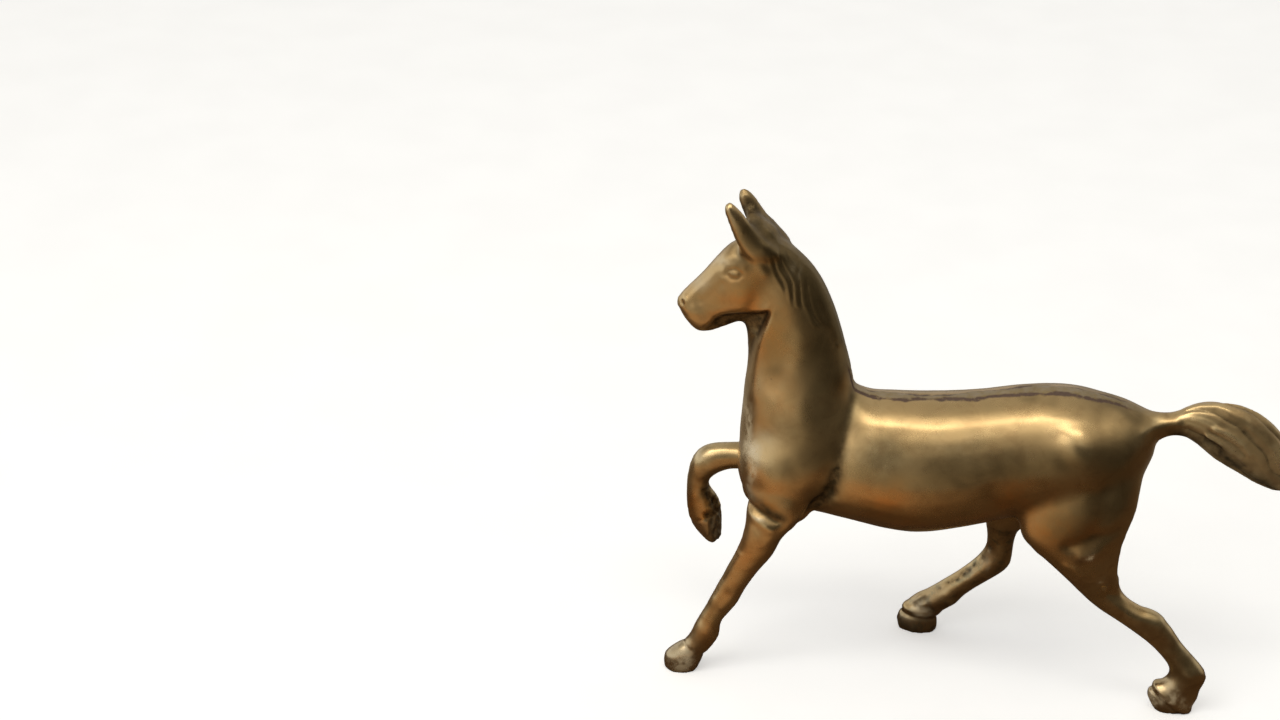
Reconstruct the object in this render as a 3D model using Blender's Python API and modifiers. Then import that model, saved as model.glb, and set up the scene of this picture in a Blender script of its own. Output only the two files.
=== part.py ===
"""A striding horse in cast brass, standing on three hooves with one foreleg raised.

The horse faces -X, +Z is up and its left side is toward -Y. The ground is z = 0.
The tables are in millimetres, with y = 0 in the vertical midplane of the body. The
finished pieces are placed so that the origin is the middle of the statue's footprint.
Two hollow body halves are doweled and brazed along the vertical midplane. Each carries
round tenons for its own two legs, and together they grip the spigot of the tail.
A cross pin holds each leg and the tail.
"""
import math

import bmesh
import bpy
import numpy as np
from mathutils import Matrix, Vector

MM = 0.001

# The middle of the statue's footprint, in the tables' coordinates
BASE_CENTRE = (16.0, 3.5, 0.0)

# Fits
GAP = 0.3
SEAM_HALF_GAP = 0.15

# Fineness of the skin, the round bars and the core
VOXEL = 1.2
SMOOTHING_PASSES = 14
OUTER_TRIANGLES = 9000
ROUND_SIDES = 20
RING_POINTS = 28
STATION_STEP = 3.0
CORE_RING_POINTS = 16
CORE_STATION_STEP = 8.0
FAR = 300.0
GROUND_DEPTH = 20.0
SHARP_ANGLE = math.radians(40)

# Joint planes
NEAR_FORE_JOINT_Z = 77.0
NEAR_HIND_JOINT_Z = 77.0
OFF_HIND_JOINT_Z = 66.0
OFF_FORE_JOINT_X = -95.0
TAIL_JOINT_X = 94.0

# A station is a closed section through two outline points of the side view:
# (x, z of the front or upper point, x, z of the rear or lower point, centre y, half width).
BARREL = (
    (-94.5, 111, -94.5, 97, 0, 7),
    (-92.3, 120, -92.3, 88, 0, 15.5),
    (-87, 129, -87, 82, 0, 22),
    (-75, 136.5, -75, 79.5, 0, 27),
    (-58, 140, -58, 81, 0, 27.5),
    (-42, 141, -42, 78, 0, 26.5),
    (-24, 140.8, -24, 75, 0, 27),
    (-8, 141.3, -8, 74.8, 0, 28),
    (12, 144, 12, 79.5, 0, 27.5),
    (32, 148, 32, 86, 0, 26.5),
    (50, 149.4, 50, 92, 0, 27),
    (66, 147.2, 66, 96, 0, 25.5),
    (77, 144.4, 78, 100, 0, 21.5),
    (85, 141.7, 85.5, 107, 0, 14),
    (90.5, 140, 91, 121, 0, 7),
)
NECK = (
    (-92, 98, -8, 118, 0, 25),
    (-94.5, 114, -24, 133, 0, 25),
    (-94, 128, -39, 144, 0, 22),
    (-92.7, 142, -45, 156, 0, 17.8),
    (-91.5, 153, -48.7, 168, 0, 14.6),
    (-91.8, 164, -53.4, 182.2, 0, 12.7),
    (-93, 172, -59, 194.5, 0, 11.5),
    (-92, 181, -66, 204, 0, 10),
    (-88, 196, -74, 210.5, 0, 8),
    (-88, 206, -82, 215, 0, 5),
)
HEAD = (
    (-125, 180.6, -114.8, 166.2, 0, 4.8),
    (-122, 184, -110, 165.5, 0, 6.8),
    (-117.3, 189.5, -103.6, 168, 0, 7),
    (-112.2, 195.2, -97.3, 171, 0, 8),
    (-107.2, 201.7, -91, 174, 0, 9.6),
    (-101.6, 208, -85.5, 180, 0, 10.6),
    (-96.7, 212.2, -79.5, 186, 0, 10.6),
    (-89, 215.5, -74, 192, 0, 9.6),
    (-82, 215, -70, 200, 0, 7),
)
EAR = (
    (-94, 206, -76, 208, -7.5, 4),
    (-97, 213, -83, 215, -8.6, 3.8),
    (-99.3, 219.5, -89.3, 222, -9.2, 3.4),
    (-101.7, 226, -94, 228, -9.4, 3),
    (-103.2, 230.2, -97.6, 232, -9.4, 2.4),
    (-102.2, 232.2, -99.4, 233.2, -9.4, 1.5),
)
OFF_EAR_SHIFT_X = 3.6
NEAR_FORELEG = (
    (-90, 98, -56, 100, -17, 10),
    (-88.6, 88, -58, 86, -20, 9.5),
    (-89, 78, -70, 77, -22, 8),
    (-91.2, 70, -74.8, 66.3, -22, 7.2),
    (-94.5, 61.5, -81.6, 56.3, -22, 6.4),
    (-99.7, 50.5, -87.8, 45.3, -22, 5.6),
    (-103, 43, -91, 38, -22, 5.6),
    (-106, 36, -95.3, 32, -22, 5),
    (-109.2, 29.5, -98.7, 26.5, -22, 4.8),
    (-111.7, 24, -99, 19.7, -22, 5.4),
    (-113.7, 18.5, -102, 14, -22, 5.2),
    (-117.3, 14, -104.6, 10, -22, 5.4),
)
NEAR_FORE_HOOF = (
    (-117.5, 14, -104.7, 14, -22, 4.6),
    (-121.8, 10.5, -105.8, 10.5, -22, 5.4),
    (-125.8, 6, -107.2, 6, -22, 6),
    (-124.8, 0, -109.8, 0, -22, 5.8),
    (-124.8, -4, -109.8, -4, -22, 5.8),
)
OFF_FORELEG = (
    (-62, 104, -62, 89, 12, 8),
    (-76, 104, -76, 84, 16.2, 11),
    (-87, 101.8, -87, 85.3, 19, 8.6),
    (-97, 99.5, -97, 86.3, 20, 6.5),
    (-105.3, 98.7, -104.3, 84, 20, 6.3),
    (-112.4, 97, -108, 81.3, 20, 6.5),
    (-117.5, 92.5, -110.2, 78.8, 20, 6.3),
    (-120.1, 86, -110.6, 76.4, 20, 5.6),
    (-121.4, 78, -109.3, 73.5, 20, 5.2),
    (-121.6, 70.5, -106.2, 70.2, 20, 5.2),
    (-121.2, 63.5, -104.2, 65.5, 20, 5.4),
    (-119.8, 56.8, -103.3, 59, 20, 5.8),
    (-116.2, 51, -103.3, 52.5, 20, 5.8),
    (-110.3, 45, -103.5, 46, 20, 5),
)
NEAR_HINDLEG = (
    (37, 112, 87, 117, -11, 13.5),
    (34.5, 98, 85.8, 104, -14.5, 13.2),
    (34, 85.5, 83.2, 94, -17.3, 11.4),
    (40.6, 78.6, 80.3, 84, -18.6, 10),
    (49, 71.7, 79.4, 75.5, -19.6, 9),
    (57, 64.6, 79.5, 68.5, -20, 7.8),
    (65.2, 56.5, 81, 62, -20, 7),
    (73.3, 50, 86, 56.5, -20, 6.3),
    (81.5, 44.8, 92.3, 53, -20, 6),
    (89.5, 39.2, 99.7, 49.3, -20, 5.8),
    (96.5, 33.7, 105.5, 43.7, -20, 5.2),
    (102.5, 27.7, 111.5, 34.8, -20, 4.8),
    (106, 23, 118.5, 27, -20, 5.2),
    (106.8, 18.5, 123.8, 20, -20, 5.9),
    (103.5, 13, 123, 12, -20, 5.8),
)
NEAR_HIND_HOOF = (
    (102.5, 14, 122.8, 14, -20, 4.8),
    (98, 10, 122.3, 10, -20, 5.8),
    (98.3, 5.5, 121.3, 5.5, -20, 6.1),
    (101.5, 0, 119, 0, -20, 5.9),
    (101.5, -4, 119, -4, -20, 5.9),
)
OFF_HINDLEG = (
    (38, 118, 84, 116, 12, 13),
    (28, 102, 78, 96, 16, 12.5),
    (21, 86, 60, 82, 19, 11),
    (19, 74, 44, 71, 22, 9),
    (20.3, 64, 36, 63, 23.5, 7.2),
    (21.2, 57.5, 34.6, 56.5, 24.5, 6.4),
    (20.3, 50.6, 34.2, 49, 25.3, 6),
    (17, 45, 33.6, 42, 26, 6),
    (11.7, 38.8, 29, 36.3, 26.5, 5.6),
    (4.6, 32.3, 19.6, 28.3, 27, 5),
    (-2.3, 26.2, 12, 20.6, 27.8, 5),
    (-8.5, 20.6, 6, 13.5, 28.8, 5.4),
    (-13.6, 15.5, 1.8, 10, 29.8, 5.6),
)
OFF_HIND_HOOF = (
    (-15, 13.5, 1.6, 13.5, 30, 4.8),
    (-17, 9.5, 1, 9.5, 30.3, 5.8),
    (-19, 5, 0.9, 5, 30.5, 6.2),
    (-17.8, 0, 1.2, 0, 30.3, 6.6),
    (-17.8, -4, 1.2, -4, 30.3, 6.6),
)
TAIL = (
    (82, 141, 82, 124, 0, 7),
    (90, 141, 90, 126.5, 0, 5.6),
    (97, 141.3, 97, 130.2, 0, 4.6),
    (104, 145.3, 104, 130, 0, 5.4),
    (112, 148, 110.6, 125.3, 0, 6.4),
    (121, 148, 118.6, 119.4, 0, 7.4),
    (130.5, 145.8, 126.5, 115.2, 0, 7.6),
    (139, 140.5, 134, 110.6, 0, 7),
    (147, 132.5, 141, 107.4, 0, 6),
    (153.5, 123, 148, 105.6, 0, 4.6),
    (158, 113.5, 155.5, 106.5, 0, 2.8),
)

# Where one form runs into the next, the crease is softened:
# (x, y, z of the middle, reach)
BLENDS = (
    (-36, 0, 143, 24),
    (-52, -22, 122, 26),
    (-52, 22, 122, 26),
    (-88, 0, 128, 16),
    (-84, -12, 175, 11),
    (-84, 12, 175, 11),
    (-84, 17, 84, 14),
    (-66, -24, 92, 12),
    (36, -26, 96, 18),
    (30, 20, 88, 18),
    (60, -24, 116, 22),
    (60, 24, 116, 22),
    (86, -12, 112, 14),
    (86, 12, 112, 14),
    (60, 0, 92, 16),
)
BLEND_PASSES = 60
BLEND_GAIN = 1.4

# Hollow inside the body, left by the casting core
BARREL_CORE = (
    (-67, 116, -67, 99, 0, 12),
    (-60, 129, -60, 86, 0, 20),
    (-44, 134, -44, 82.5, 0, 22),
    (-20, 135, -20, 81, 0, 23),
    (4, 136.5, 4, 84, 0, 23),
    (26, 141, 26, 91, 0, 21),
    (48, 143.5, 48, 99, 0, 21),
    (64, 140, 64, 106, 0, 18),
    (72, 134, 72, 113, 0, 10),
)
NECK_CORE = (
    (-85, 140, -57, 149, 0, 8),
    (-85, 146, -55, 158, 0, 9.5),
    (-83, 158, -59, 172, 0, 8.5),
    (-79, 168, -63, 182, 0, 7),
    (-75, 177, -67, 186, 0, 3.5),
)

# Round tenons of the body in the legs, and the spigot of the tail:
# (start x, y, z, end x, y, z, radius)
NEAR_FORE_TENON = (-78.1, -22, 83, -85.4, -22, 66, 4.0)
NEAR_HIND_TENON = (63, -20, 85, 73, -20, 60, 5.0)
OFF_HIND_TENON = (28.6, 22.8, 73, 27.3, 25, 53, 4.0)
OFF_FORE_TENON = (-88, 19.8, 94, -107, 20, 91.6, 3.4)
TAIL_SPIGOT = (99, 0, 135.8, 81, 0, 132, 3.0)

# Cross pins along Y: (x, z, y at one end, y at the other end)
PIN_RADIUS = 1.25
CROSS_PINS = {
    "left_foreleg_pin": (-83.2, 70.5, -27.0, -15.5),
    "left_hindleg_pin": (73.5, 65.0, -27.3, -14.0),
    "right_foreleg_pin": (-101.5, 92.6, 16.0, 26.0),
    "right_hindleg_pin": (28.0, 60.0, 20.0, 30.6),
    "tail_pin": (87.0, 133.3, -6.5, 9.5),
}

# Seam dowels along Y between the two body halves: (x, z)
DOWEL_RADIUS = 1.2
DOWEL_HALF_LENGTH = 6.0
SEAM_DOWELS = {
    "seam_dowel_poll": (-85.0, 203.0),
    "seam_dowel_cheek": (-100.0, 187.0),
    "seam_dowel_withers": (-47.5, 141.0),
    "seam_dowel_chest": (-84.0, 104.0),
    "seam_dowel_croup": (80.0, 122.0),
    "seam_dowel_crotch": (62.0, 99.0),
}

# Vent in the belly of the left half, closed with a turned plug
VENT_X = -15.0
VENT_Y = -8.0
VENT_RADIUS = 2.2
PLUG_BOTTOM_Z = 76.9
PLUG_TOP_Z = 83.5
VENT_OVERRUN = 8.0

BRASS = (0.42, 0.29, 0.12)
OLD_BRASS = (0.34, 0.25, 0.12)
PIN_BRASS = (0.55, 0.42, 0.20)


def clear_scene():
    """Remove what the file opens with."""
    for obj in list(bpy.data.objects):
        bpy.data.objects.remove(obj)


def collection(name):
    """A new collection of the scene."""
    made = bpy.data.collections.new(name)
    bpy.context.scene.collection.children.link(made)
    return made


def metal(name, colour, roughness):
    """One cast or drawn brass."""
    material = bpy.data.materials.new(name)
    material.use_nodes = True
    shader = material.node_tree.nodes["Principled BSDF"]
    shader.inputs["Base Color"].default_value = (*colour, 1.0)
    shader.inputs["Roughness"].default_value = roughness
    shader.inputs["Metallic"].default_value = 1.0
    return material


def add(name, bm, where):
    """Put a bmesh into the scene as an object with outward faces."""
    bmesh.ops.recalc_face_normals(bm, faces=bm.faces)
    mesh = bpy.data.meshes.new(name)
    bm.to_mesh(mesh)
    bm.free()
    obj = bpy.data.objects.new(name, mesh)
    where.objects.link(obj)
    return obj


def as_cutter(obj):
    """Mark an object as a cutter or a guide."""
    obj.hide_render = True
    obj.display_type = "WIRE"
    return obj


def through(stations, step):
    """Catmull-Rom stations about the given step apart, through the given ones."""
    rows = np.array(stations, float)
    centres = (rows[:, 0:2] + rows[:, 2:4]) / 2
    padded = np.vstack([2 * rows[0] - rows[1], rows, 2 * rows[-1] - rows[-2]])
    made = []
    for i in range(len(rows) - 1):
        length = np.linalg.norm(centres[i + 1] - centres[i])
        steps = max(1, round(length / step))
        before, start, end, after = padded[i:i + 4]
        for t in np.arange(steps) / steps:
            made.append(0.5 * (2 * start + (end - before) * t
                               + (2 * before - 5 * start + 4 * end - after) * t**2
                               + (3 * start - before - 3 * end + after) * t**3))
    made.append(rows[-1])
    return made


def loft(stations, bm, side, shift_x, points, step):
    """Skin the sections of a station table, and cap both ends."""
    rings = []
    for xa, za, xb, zb, y, half_width in through(stations, step):
        middle = np.array([(xa + xb) / 2 + shift_x, y * side, (za + zb) / 2])
        reach = np.array([(xa - xb) / 2, 0.0, (za - zb) / 2])
        ring = []
        for k in range(points):
            angle = math.tau * k / points
            across = np.array([0.0, half_width * math.sin(angle), 0.0])
            ring.append(bm.verts.new((middle + reach * math.cos(angle) + across) * MM))
        rings.append(ring)
    for ring, following in zip(rings, rings[1:]):
        for k in range(points):
            n = (k + 1) % points
            bm.faces.new((ring[k], ring[n], following[n], following[k]))
    bm.faces.new(rings[0])
    bm.faces.new(rings[-1])


def solid_of(name, tables, where, points=RING_POINTS, step=STATION_STEP):
    """One object of overlapping lofts; a table is (stations, side, shift)."""
    joined = bmesh.new()
    for stations, side, shift_x in tables:
        single = bmesh.new()
        loft(stations, single, side, shift_x, points, step)
        bmesh.ops.recalc_face_normals(single, faces=single.faces)
        mesh = bpy.data.meshes.new("loft")
        single.to_mesh(mesh)
        single.free()
        joined.from_mesh(mesh)
        bpy.data.meshes.remove(mesh)
    mesh = bpy.data.meshes.new(name)
    joined.to_mesh(mesh)
    joined.free()
    obj = bpy.data.objects.new(name, mesh)
    where.objects.link(obj)
    return obj


def bake(obj):
    """Replace an object's mesh by what its modifiers make of it."""
    depsgraph = bpy.context.evaluated_depsgraph_get()
    made = bpy.data.meshes.new_from_object(obj.evaluated_get(depsgraph))
    obj.modifiers.clear()
    old = obj.data
    obj.data = made
    bpy.data.meshes.remove(old)
    return obj


def fuse(obj):
    """Make the overlapping lofts one skin and soften the creases between them."""
    remesh = obj.modifiers.new("skin", "REMESH")
    remesh.mode = "VOXEL"
    remesh.voxel_size = VOXEL * MM
    smooth = obj.modifiers.new("soften", "SMOOTH")
    smooth.factor = 0.5
    smooth.iterations = SMOOTHING_PASSES
    return bake(obj)


def soften_blends(obj):
    """Smooth the skin further in the blend zones, fading out at each zone's edge."""
    count = len(obj.data.vertices)
    places = np.empty(count * 3)
    obj.data.vertices.foreach_get("co", places)
    places = places.reshape(-1, 3) / MM
    weights = np.zeros(count)
    for x, y, z, reach in BLENDS:
        distance = np.linalg.norm(places - (x, y, z), axis=1)
        weights = np.maximum(weights, np.clip(BLEND_GAIN * (1 - distance / reach), 0, 1))
    group = obj.vertex_groups.new(name="blends")
    for index in np.nonzero(weights)[0]:
        group.add([int(index)], float(weights[index]), "REPLACE")
    smooth = obj.modifiers.new("soften_blends", "SMOOTH")
    smooth.factor = 0.5
    smooth.iterations = BLEND_PASSES
    smooth.vertex_group = group.name
    bake(obj)
    obj.vertex_groups.clear()


def thin_out(obj, triangles):
    """Collapse the skin to about the given number of triangles."""
    count = sum(len(face.vertices) - 2 for face in obj.data.polygons)
    decimate = obj.modifiers.new("thin_out", "DECIMATE")
    decimate.ratio = triangles / count
    return bake(obj)


def box(name, low, high, where):
    """An axis-aligned box between two corners in millimetres."""
    bm = bmesh.new()
    bmesh.ops.create_cube(bm, size=1.0)
    low = Vector(low) * MM
    high = Vector(high) * MM
    size = high - low
    bmesh.ops.scale(bm, vec=size, verts=bm.verts)
    bmesh.ops.translate(bm, vec=(low + high) / 2, verts=bm.verts)
    return add(name, bm, where)


def rod(name, start, end, radius, where):
    """A round bar between two points in millimetres."""
    start = Vector(start) * MM
    end = Vector(end) * MM
    along = end - start
    bm = bmesh.new()
    bmesh.ops.create_cone(bm, cap_ends=True, segments=ROUND_SIDES, radius1=radius * MM,
                          radius2=radius * MM, depth=along.length)
    turn = Vector((0, 0, 1)).rotation_difference(along).to_matrix()
    bmesh.ops.rotate(bm, cent=(0, 0, 0), matrix=turn, verts=bm.verts)
    bmesh.ops.translate(bm, vec=(start + end) / 2, verts=bm.verts)
    return add(name, bm, where)


def copy_of(obj, name, where):
    """A separate copy of an object and its mesh."""
    made = obj.copy()
    made.data = obj.data.copy()
    made.name = name
    where.objects.link(made)
    return made


def boolean(obj, cutter, operation):
    """Apply one exact Boolean."""
    as_cutter(cutter)
    step = obj.modifiers.new(cutter.name, "BOOLEAN")
    step.operation = operation
    step.solver = "EXACT"
    step.object = cutter
    return bake(obj)


def tenon_rod(name, tenon, where, clearance=0.0):
    """The tenon itself, or with a clearance the socket that takes it."""
    start = Vector(tenon[0:3])
    end = Vector(tenon[3:6])
    end += (end - start).normalized() * clearance
    return rod(name, start, end, tenon[6] + clearance, where)


def cross_rod(name, pin, where, clearance=0.0):
    """A rod along Y: the pin itself, or with a clearance its hole."""
    x, z, y_low, y_high = pin
    start = (x, y_low - clearance, z)
    end = (x, y_high + clearance, z)
    return rod(name, start, end, PIN_RADIUS + clearance, where)


def finish(obj, material, parts):
    """Place a finished piece in the part's frame, with its material and smooth shading."""
    obj.data.transform(Matrix.Translation(Vector(BASE_CENTRE) * -MM))
    obj.data.materials.clear()
    obj.data.materials.append(material)
    obj.data.shade_smooth()
    obj.data.set_sharp_from_angle(angle=SHARP_ANGLE)
    obj.hide_render = False
    obj.display_type = "TEXTURED"
    if obj.name not in parts.objects:
        parts.objects.link(obj)
    return obj


# What each separately cast piece takes from the skin: its box (low corner, high corner),
# the joint's axis (0 is X, 2 is Z) and on which side of the joint the body lies
CASTINGS = {
    "left_foreleg": ((-FAR, -FAR, -FAR), (-64, -11, NEAR_FORE_JOINT_Z), 2, 1),
    "left_hindleg": ((25, -FAR, -FAR), (FAR, -4, NEAR_HIND_JOINT_Z), 2, 1),
    "right_hindleg": ((-40, 6, -FAR), (60, FAR, OFF_HIND_JOINT_Z), 2, 1),
    "right_foreleg": ((-FAR, 4, 30), (OFF_FORE_JOINT_X, FAR, 120), 0, 1),
    "tail": ((TAIL_JOINT_X, -FAR, 90), (FAR, FAR, FAR), 0, -1),
}
TENONS = {
    "left_foreleg": NEAR_FORE_TENON,
    "left_hindleg": NEAR_HIND_TENON,
    "right_hindleg": OFF_HIND_TENON,
    "right_foreleg": OFF_FORE_TENON,
}


def horse_skin(cutters):
    """The whole outer form, fused, with flat soles at z = 0."""
    tables = [
        (BARREL, 1, 0), (NECK, 1, 0), (HEAD, 1, 0), (EAR, 1, 0), (EAR, -1, OFF_EAR_SHIFT_X),
        (NEAR_FORELEG, 1, 0), (NEAR_FORE_HOOF, 1, 0), (OFF_FORELEG, 1, 0),
        (NEAR_HINDLEG, 1, 0), (NEAR_HIND_HOOF, 1, 0),
        (OFF_HINDLEG, 1, 0), (OFF_HIND_HOOF, 1, 0), (TAIL, 1, 0),
    ]
    skin = solid_of("skin", tables, cutters)
    fuse(skin)
    soften_blends(skin)
    thin_out(skin, OUTER_TRIANGLES)
    ground = box("ground", (-FAR, -FAR, -GROUND_DEPTH), (FAR, FAR, 0), cutters)
    boolean(skin, ground, "DIFFERENCE")
    return as_cutter(skin)


def casting_box(name, cutters, gap):
    """The box that holds one casting, drawn back from its joint plane by the gap."""
    low, high, axis, side = CASTINGS[name]
    low = list(low)
    high = list(high)
    if side > 0:
        high[axis] -= gap
    else:
        low[axis] += gap
    kind = "piece" if gap > 0 else "gap"
    return box(name + "_" + kind + "_box", low, high, cutters)


def leg(name, skin, cutters):
    """A solid leg casting with a round socket for the body's tenon and a pin hole."""
    piece = copy_of(skin, name, cutters)
    boolean(piece, casting_box(name, cutters, SEAM_HALF_GAP), "INTERSECT")
    socket = tenon_rod(name + "_socket", TENONS[name], cutters, GAP)
    boolean(piece, socket, "DIFFERENCE")
    hole = cross_rod(name + "_pin_hole", CROSS_PINS[name + "_pin"], cutters, GAP)
    return boolean(piece, hole, "DIFFERENCE")


def tail(skin, cutters):
    """The tail casting with its spigot, drilled for the tail pin."""
    piece = copy_of(skin, "tail", cutters)
    boolean(piece, casting_box("tail", cutters, SEAM_HALF_GAP), "INTERSECT")
    boolean(piece, tenon_rod("tail_spigot", TAIL_SPIGOT, cutters), "UNION")
    hole = cross_rod("tail_pin_hole", CROSS_PINS["tail_pin"], cutters, GAP)
    return boolean(piece, hole, "DIFFERENCE")


def hollow_body(skin, cutters):
    """The body before it is parted: tenons on, core out, every socket and hole cut."""
    body = copy_of(skin, "body", cutters)
    for name in CASTINGS:
        boolean(body, casting_box(name, cutters, -SEAM_HALF_GAP), "DIFFERENCE")
    for name, stations in (("barrel_core", BARREL_CORE), ("neck_core", NECK_CORE)):
        core = solid_of(name, [(stations, 1, 0)], cutters, CORE_RING_POINTS, CORE_STATION_STEP)
        boolean(body, core, "DIFFERENCE")
    for name, tenon in TENONS.items():
        boolean(body, tenon_rod(name + "_tenon", tenon, cutters), "UNION")
    boolean(body, tenon_rod("spigot_socket", TAIL_SPIGOT, cutters, GAP), "DIFFERENCE")
    for name, pin in CROSS_PINS.items():
        boolean(body, cross_rod(name + "_bore", pin, cutters, GAP), "DIFFERENCE")
    for name, (x, z) in SEAM_DOWELS.items():
        reach = DOWEL_HALF_LENGTH + GAP
        bore = rod(name + "_bore", (x, -reach, z), (x, reach, z), DOWEL_RADIUS + GAP, cutters)
        boolean(body, bore, "DIFFERENCE")
    vent_start = (VENT_X, VENT_Y, PLUG_BOTTOM_Z - VENT_OVERRUN)
    vent_end = (VENT_X, VENT_Y, PLUG_TOP_Z + VENT_OVERRUN)
    vent = rod("vent", vent_start, vent_end, VENT_RADIUS + GAP, cutters)
    return as_cutter(boolean(body, vent, "DIFFERENCE"))


def body_half(name, side, body, cutters):
    """One side of the body, drawn back from the midplane by half the seam's gap."""
    near = SEAM_HALF_GAP * side
    far = FAR * side
    low = (-FAR, min(near, far), -FAR)
    high = (FAR, max(near, far), FAR)
    half = copy_of(body, name, cutters)
    return boolean(half, box(name + "_box", low, high, cutters), "INTERSECT")


def main():
    clear_scene()
    parts = collection("bronze_horse_statue")
    cutters = collection("cutters")
    cast = metal("cast_brass", BRASS, 0.3)
    limb = metal("limb_brass", OLD_BRASS, 0.36)
    drawn = metal("drawn_brass", PIN_BRASS, 0.25)

    skin = horse_skin(cutters)
    body = hollow_body(skin, cutters)
    pieces = [
        (body_half("left_body_half", -1, body, cutters), cast),
        (body_half("right_body_half", 1, body, cutters), cast),
        (tail(skin, cutters), limb),
    ]
    for name in TENONS:
        pieces.append((leg(name, skin, cutters), limb))
    for name, pin in CROSS_PINS.items():
        pieces.append((cross_rod(name, pin, cutters), drawn))
    for name, (x, z) in SEAM_DOWELS.items():
        start = (x, -DOWEL_HALF_LENGTH, z)
        end = (x, DOWEL_HALF_LENGTH, z)
        pieces.append((rod(name, start, end, DOWEL_RADIUS, cutters), drawn))
    plug = rod("vent_plug", (VENT_X, VENT_Y, PLUG_BOTTOM_Z), (VENT_X, VENT_Y, PLUG_TOP_Z),
               VENT_RADIUS, cutters)
    pieces.append((plug, drawn))
    for piece, material in pieces:
        cutters.objects.unlink(piece)
        finish(piece, material, parts)


main()
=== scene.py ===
"""Looks for the cast brass horse: a fine sculpted skin, cut back into its castings.

The coarse castings are closed into one skin, smoothed, refined where the detail is fine,
modelled like clay with strokes, knobs and hair, and then cut at the casting joints.
Tables are in millimetres, with y = 0 in the midplane of the body, as the castings were
laid out. The horse faces -X and its left side is toward -Y.
"""
import math

import bmesh
import bpy
import numpy as np
from mathutils import Matrix, Vector

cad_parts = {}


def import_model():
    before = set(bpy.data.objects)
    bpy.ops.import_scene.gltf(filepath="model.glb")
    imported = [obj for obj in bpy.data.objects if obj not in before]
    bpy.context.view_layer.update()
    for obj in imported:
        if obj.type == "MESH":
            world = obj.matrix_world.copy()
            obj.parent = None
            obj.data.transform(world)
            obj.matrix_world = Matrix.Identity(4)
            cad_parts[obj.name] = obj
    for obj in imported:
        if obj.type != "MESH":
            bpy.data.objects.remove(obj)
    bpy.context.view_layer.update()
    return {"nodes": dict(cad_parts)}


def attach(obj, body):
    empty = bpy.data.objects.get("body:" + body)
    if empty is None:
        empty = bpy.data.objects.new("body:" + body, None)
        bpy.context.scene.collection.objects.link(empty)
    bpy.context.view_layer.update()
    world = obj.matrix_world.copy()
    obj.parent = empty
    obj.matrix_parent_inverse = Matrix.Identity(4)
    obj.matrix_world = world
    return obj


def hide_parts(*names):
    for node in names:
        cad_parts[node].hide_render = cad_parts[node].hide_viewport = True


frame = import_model()

MM = 0.001
# The frame's origin, in the tables' coordinates
BASE_CENTRE = np.array((16.0, 3.5, 0.0))

# The skin: the remesh's cell, the rounds of smoothing before and after refining, how far the
# castings are made to overlap at their joints, how much the pins are thickened, and the gap
# that is left between the body's halves
VOXEL = 1.22
FIRST_SMOOTHING = 26
SECOND_SMOOTHING = 5
OVERLAP = 0.5
PIN_SWELL = 0.45
SEAM_GAP = 0.03
# Metres within which vertices are joined, in the CAD's meshes and at the cuts
WELD_DISTANCE = 1e-6
CUT_DISTANCE = 1e-7

# Each separately cast piece: its box (low, high), its joint's axis and plane, and on which
# side of the plane the body lies
FAR = 400.0
CASTINGS = {
    "left_foreleg": ((-FAR, -FAR, -FAR), (-64, -11, FAR), 2, 77.0, 1),
    "left_hindleg": ((25, -FAR, -FAR), (FAR, -4, FAR), 2, 77.0, 1),
    "right_hindleg": ((-40, 6, -FAR), (60, FAR, FAR), 2, 66.0, 1),
    "right_foreleg": ((-FAR, 4, 30), (FAR, FAR, 120), 0, -95.0, 1),
    "tail": ((-FAR, -FAR, 90), (FAR, FAR, FAR), 0, 94.0, -1),
}
BODY_HALVES = {"left_body_half": -1, "right_body_half": 1}
# How near a casting's vertices lie to the plane of its joint, and where the CAD's seam faces are
JOINT_REACH = 0.3
CAD_SEAM = 0.15
CAD_SEAM_REACH = 0.06

# Lumps that fill the fork between the ears: (x, y, z, radius)
LUMPS = (
    (-90.5, 1, 220, 4), (-88, 0.5, 217.5, 5), (-85, 0.5, 214, 6),
    (-91.5, 4, 221.5, 3), (-90.5, -3.5, 219.5, 3.2),
)
LUMP_ROUNDS = 44

# Where the castings' broad forms run into one another: (x, z, reach)
SOFT_PLACES = (
    (-89, 218, 5), (-85, 130, 12), (-81, 190, 9), (-70, 160, 14), (-66, 136, 13), (-74, 116, 14),
)
SOFT_ROUNDS = 55

# Places whose skin is refined: (low corner, high corner), and the half width of the band along
# the braze that is refined too
FINE_BOXES = (
    ((-130, -40, 165), (-50, 40, 240)),
    ((93, -40, 90), (170, 40, 160)),
    ((-132, -40, -1), (-95, -8, 20)),
    ((94, -40, -1), (128, -8, 22)),
    ((-24, 18, -1), (6, 42, 20)),
    ((-125, 8, 42), (-96, 34, 72)),
    ((-92, -40, 66), (-66, -8, 94)),
    ((50, -40, 60), (84, -8, 88)),
)
FINE_BAND = 4.6

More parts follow.
